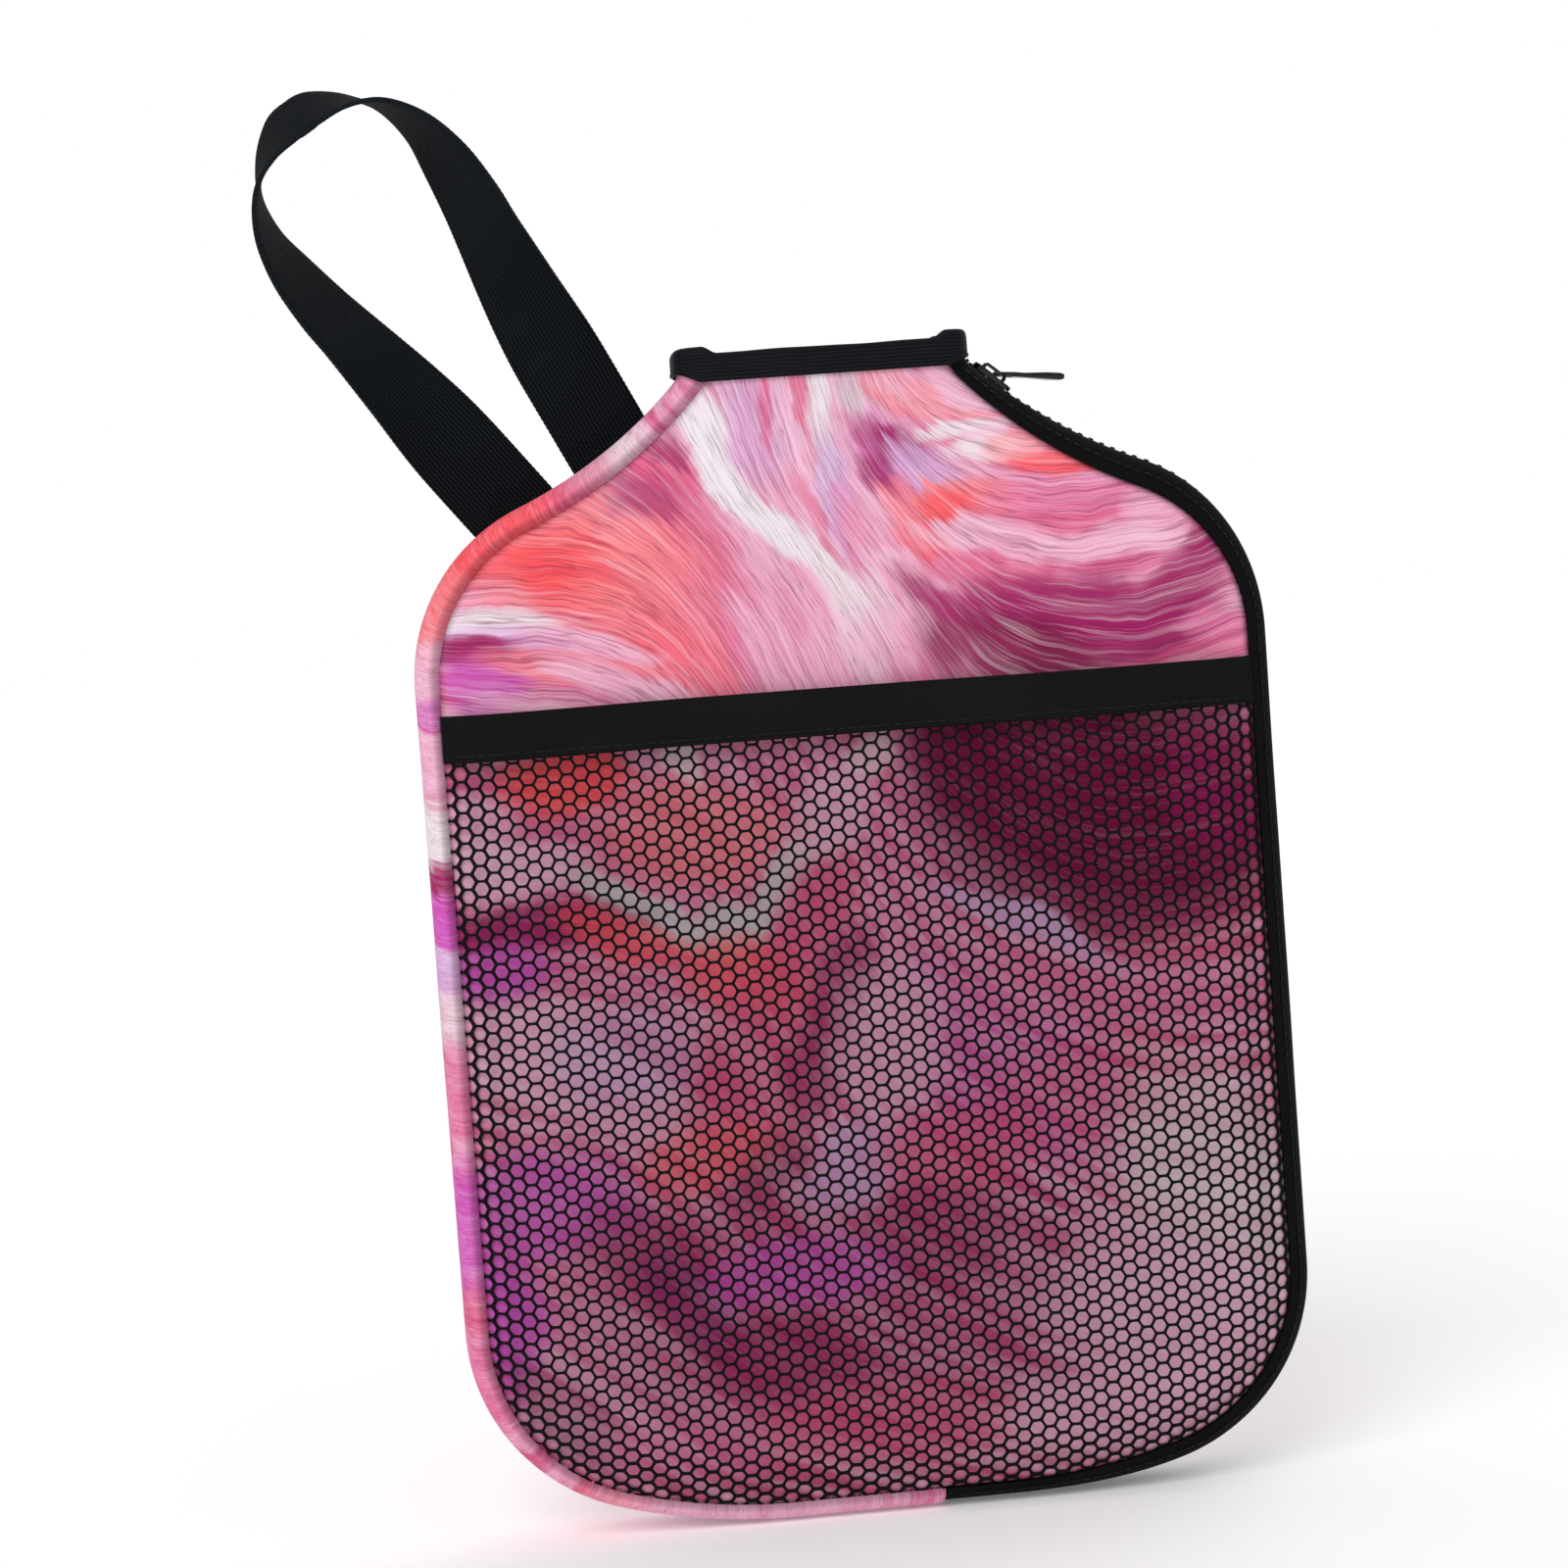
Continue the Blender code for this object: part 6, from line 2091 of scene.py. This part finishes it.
@dataclass
class Studio:
    """Pale floor, soft light and the camera."""

    aim: tuple[float, float, float] = (-18.3 * MM, 0.0, 199.3 * MM)
    field: float = 426.7 * MM
    azimuth: float = -5.0
    elevation: float = 3.0
    roll: float = -4.2
    lens: float = 85.0
    ambient: float = 0.60

    def build(self) -> None:
        """Put up the floor, the lights and the camera."""
        scene = bpy.context.scene
        scene.view_settings.view_transform = "Standard"
        scene.view_settings.look = "None"
        world = bpy.data.worlds.new("studio")
        scene.world = world
        world.use_nodes = True
        tree = world.node_tree
        backdrop = tree.nodes["Background"]
        seen = tree.nodes.new("ShaderNodeLightPath")
        share = tree.nodes.new("ShaderNodeMapRange")
        share.inputs["To Min"].default_value = self.ambient
        share.inputs["To Max"].default_value = 1.0
        tree.links.new(seen.outputs["Is Camera Ray"], share.inputs["Value"])
        tree.links.new(share.outputs["Result"], backdrop.inputs["Strength"])
        backdrop.inputs["Color"].default_value = (1.0, 1.0, 1.0, 1.0)
        self._floor()
        self._sun("key", (-0.55, -1.0, 0.95), 1.25, 38.0)
        self._sun("rim", (0.8, 1.0, 0.9), 0.55, 50.0)
        self._camera()

    def _floor(self) -> None:
        """A plain pale floor."""
        mesh = bpy.data.meshes.new("floor")
        mesh.from_pydata([(x, y, -0.4 * MM) for x, y in ((-60, -60), (60, -60), (60, 60),
                                                         (-60, 60))], [], [(0, 1, 2, 3)])
        floor = link("floor", mesh)
        r = Recipe("pale_floor")
        haze = r.noise(r.places, 3.0, 2.0)
        mesh.materials.append(r.done(r.mix(haze, (0.93, 0.93, 0.93, 1), (0.95, 0.95, 0.95, 1)),
                                     0.9, Emission_Strength=0.13))

    def _sun(self, name: str, towards: tuple[float, float, float], power: float,
             spread: float) -> None:
        """A soft distant light from a direction."""
        lamp = bpy.data.lights.new(name, "SUN")
        lamp.energy = power
        lamp.angle = math.radians(spread)
        light = bpy.data.objects.new(name, lamp)
        light.rotation_euler = (-Vector(towards)).to_track_quat("-Z", "Y").to_euler()
        bpy.context.collection.objects.link(light)

    def _camera(self) -> None:
        """A camera at the angle from which the case is shown."""
        lens = bpy.data.cameras.new("camera")
        lens.lens = self.lens
        lens.sensor_width = 36.0
        distance = self.field / 0.036 * self.lens * MM
        turn, rise = math.radians(self.azimuth), math.radians(self.elevation)
        back = Vector((math.sin(turn) * math.cos(rise), -math.cos(turn) * math.cos(rise),
                       math.sin(rise)))
        camera = bpy.data.objects.new("camera", lens)
        camera.rotation_euler = ((-back).to_track_quat("-Z", "Y") @ Matrix.Rotation(
            math.radians(self.roll), 4, "Z").to_quaternion()).to_euler()
        camera.location = Vector(self.aim) + back * distance
        lens.clip_start, lens.clip_end = 0.05, 20.0
        bpy.context.collection.objects.link(camera)
        bpy.context.scene.camera = camera


# ------------------------------------------------------------------ the case

def main() -> None:
    """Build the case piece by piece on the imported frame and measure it."""
    logging.basicConfig(level=logging.INFO, format="%(name)s: %(message)s")
    for stale in list(bpy.data.objects):
        bpy.data.objects.remove(stale, do_unlink=True)
    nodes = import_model()["nodes"]
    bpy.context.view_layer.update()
    low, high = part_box("front_panel")
    seam = SeamLine(half_width=high.x, top=high.z, bottom=low.z)
    chain = ChainLine(seam)
    brush, shape, setter = Brush(), PanelShape(), Setter()
    join, spread = FoamPanel.print_join / MM, 10.0
    above = PrintedFoam("printed_foam_above", [
        patch for patch in FACE_PATCHES if patch.z + patch.rise > join - spread], 7.0,
        calm_below=0.216).make()
    below = PrintedFoam("printed_foam_below", [
        patch for patch in FACE_PATCHES if patch.z - patch.rise < join + spread], 7.0,
        calm_below=0.216).make()
    edge_print = PrintedFoam("printed_foam_edge", EDGE_PATCHES, 4.0, hairs=0.6).make()
    webbing = Weave("webbing", (4, 6, 8), (26, 31, 36), 1.05 * MM, 1.4 * MM,
                    depth=0.30 * MM).make()
    elastic = Weave("woven_elastic", (13, 13, 13), (28, 28, 28), 0.62 * MM, 1.1 * MM,
                    depth=0.10 * MM, twill=0.0, shine=0.05).make()
    binding = Weave("binding_tape", (5, 6, 9), (22, 25, 31), 0.9 * MM, 0.7 * MM,
                    depth=0.10 * MM, rough=0.55, shine=0.10).make()
    tape = Weave("zipper_tape", (4, 4, 5), (21, 21, 23), 0.75 * MM, 1.2 * MM,
                 depth=0.14 * MM).make()
    thread = Thread("black_thread", (26, 26, 28)).make()
    resin = Moulding("tooth_resin", (9, 9, 10), 0.34).make()
    lacquer = Moulding("slider_lacquer", (10, 10, 11), 0.22, metal=0.4, coat=0.35).make()
    stitching = Stitching(setter, thread)
    for side in Side:
        FoamPanel(seam, brush, shape, side, above, below).build()
        LOG.info("%s panel", side.word)
    Gusset(seam, edge_print).build()
    LOG.info("gusset")
    pocket = NetPocket(seam, shape, setter, Knit().make(), elastic)
    pocket.net()
    pocket.band()
    stitching.sew("band_stitches", pocket.band_seams())
    LOG.info("pocket")
    zipper = Zipper(seam, chain, setter, tape, resin)
    for side in Side:
        zipper.tape(side)
        zipper.teeth(side)
        stitching.sew(f"tape_stitches_{side.word}", zipper.tape_seams(side))
    LOG.info("zipper")
    _, rows = NeckBinding(seam, binding).build()
    stitching.sew("binding_stitches", rows)
    _, rows = CarryingLoop(webbing).build()
    stitching.sew("loop_stitches", rows, body="strap")
    Hardware(lacquer, resin, Lining().make()).build(nodes)
    LOG.info("binding, loop and hardware")
    Studio().build()


if __name__ == "__main__":
    main()
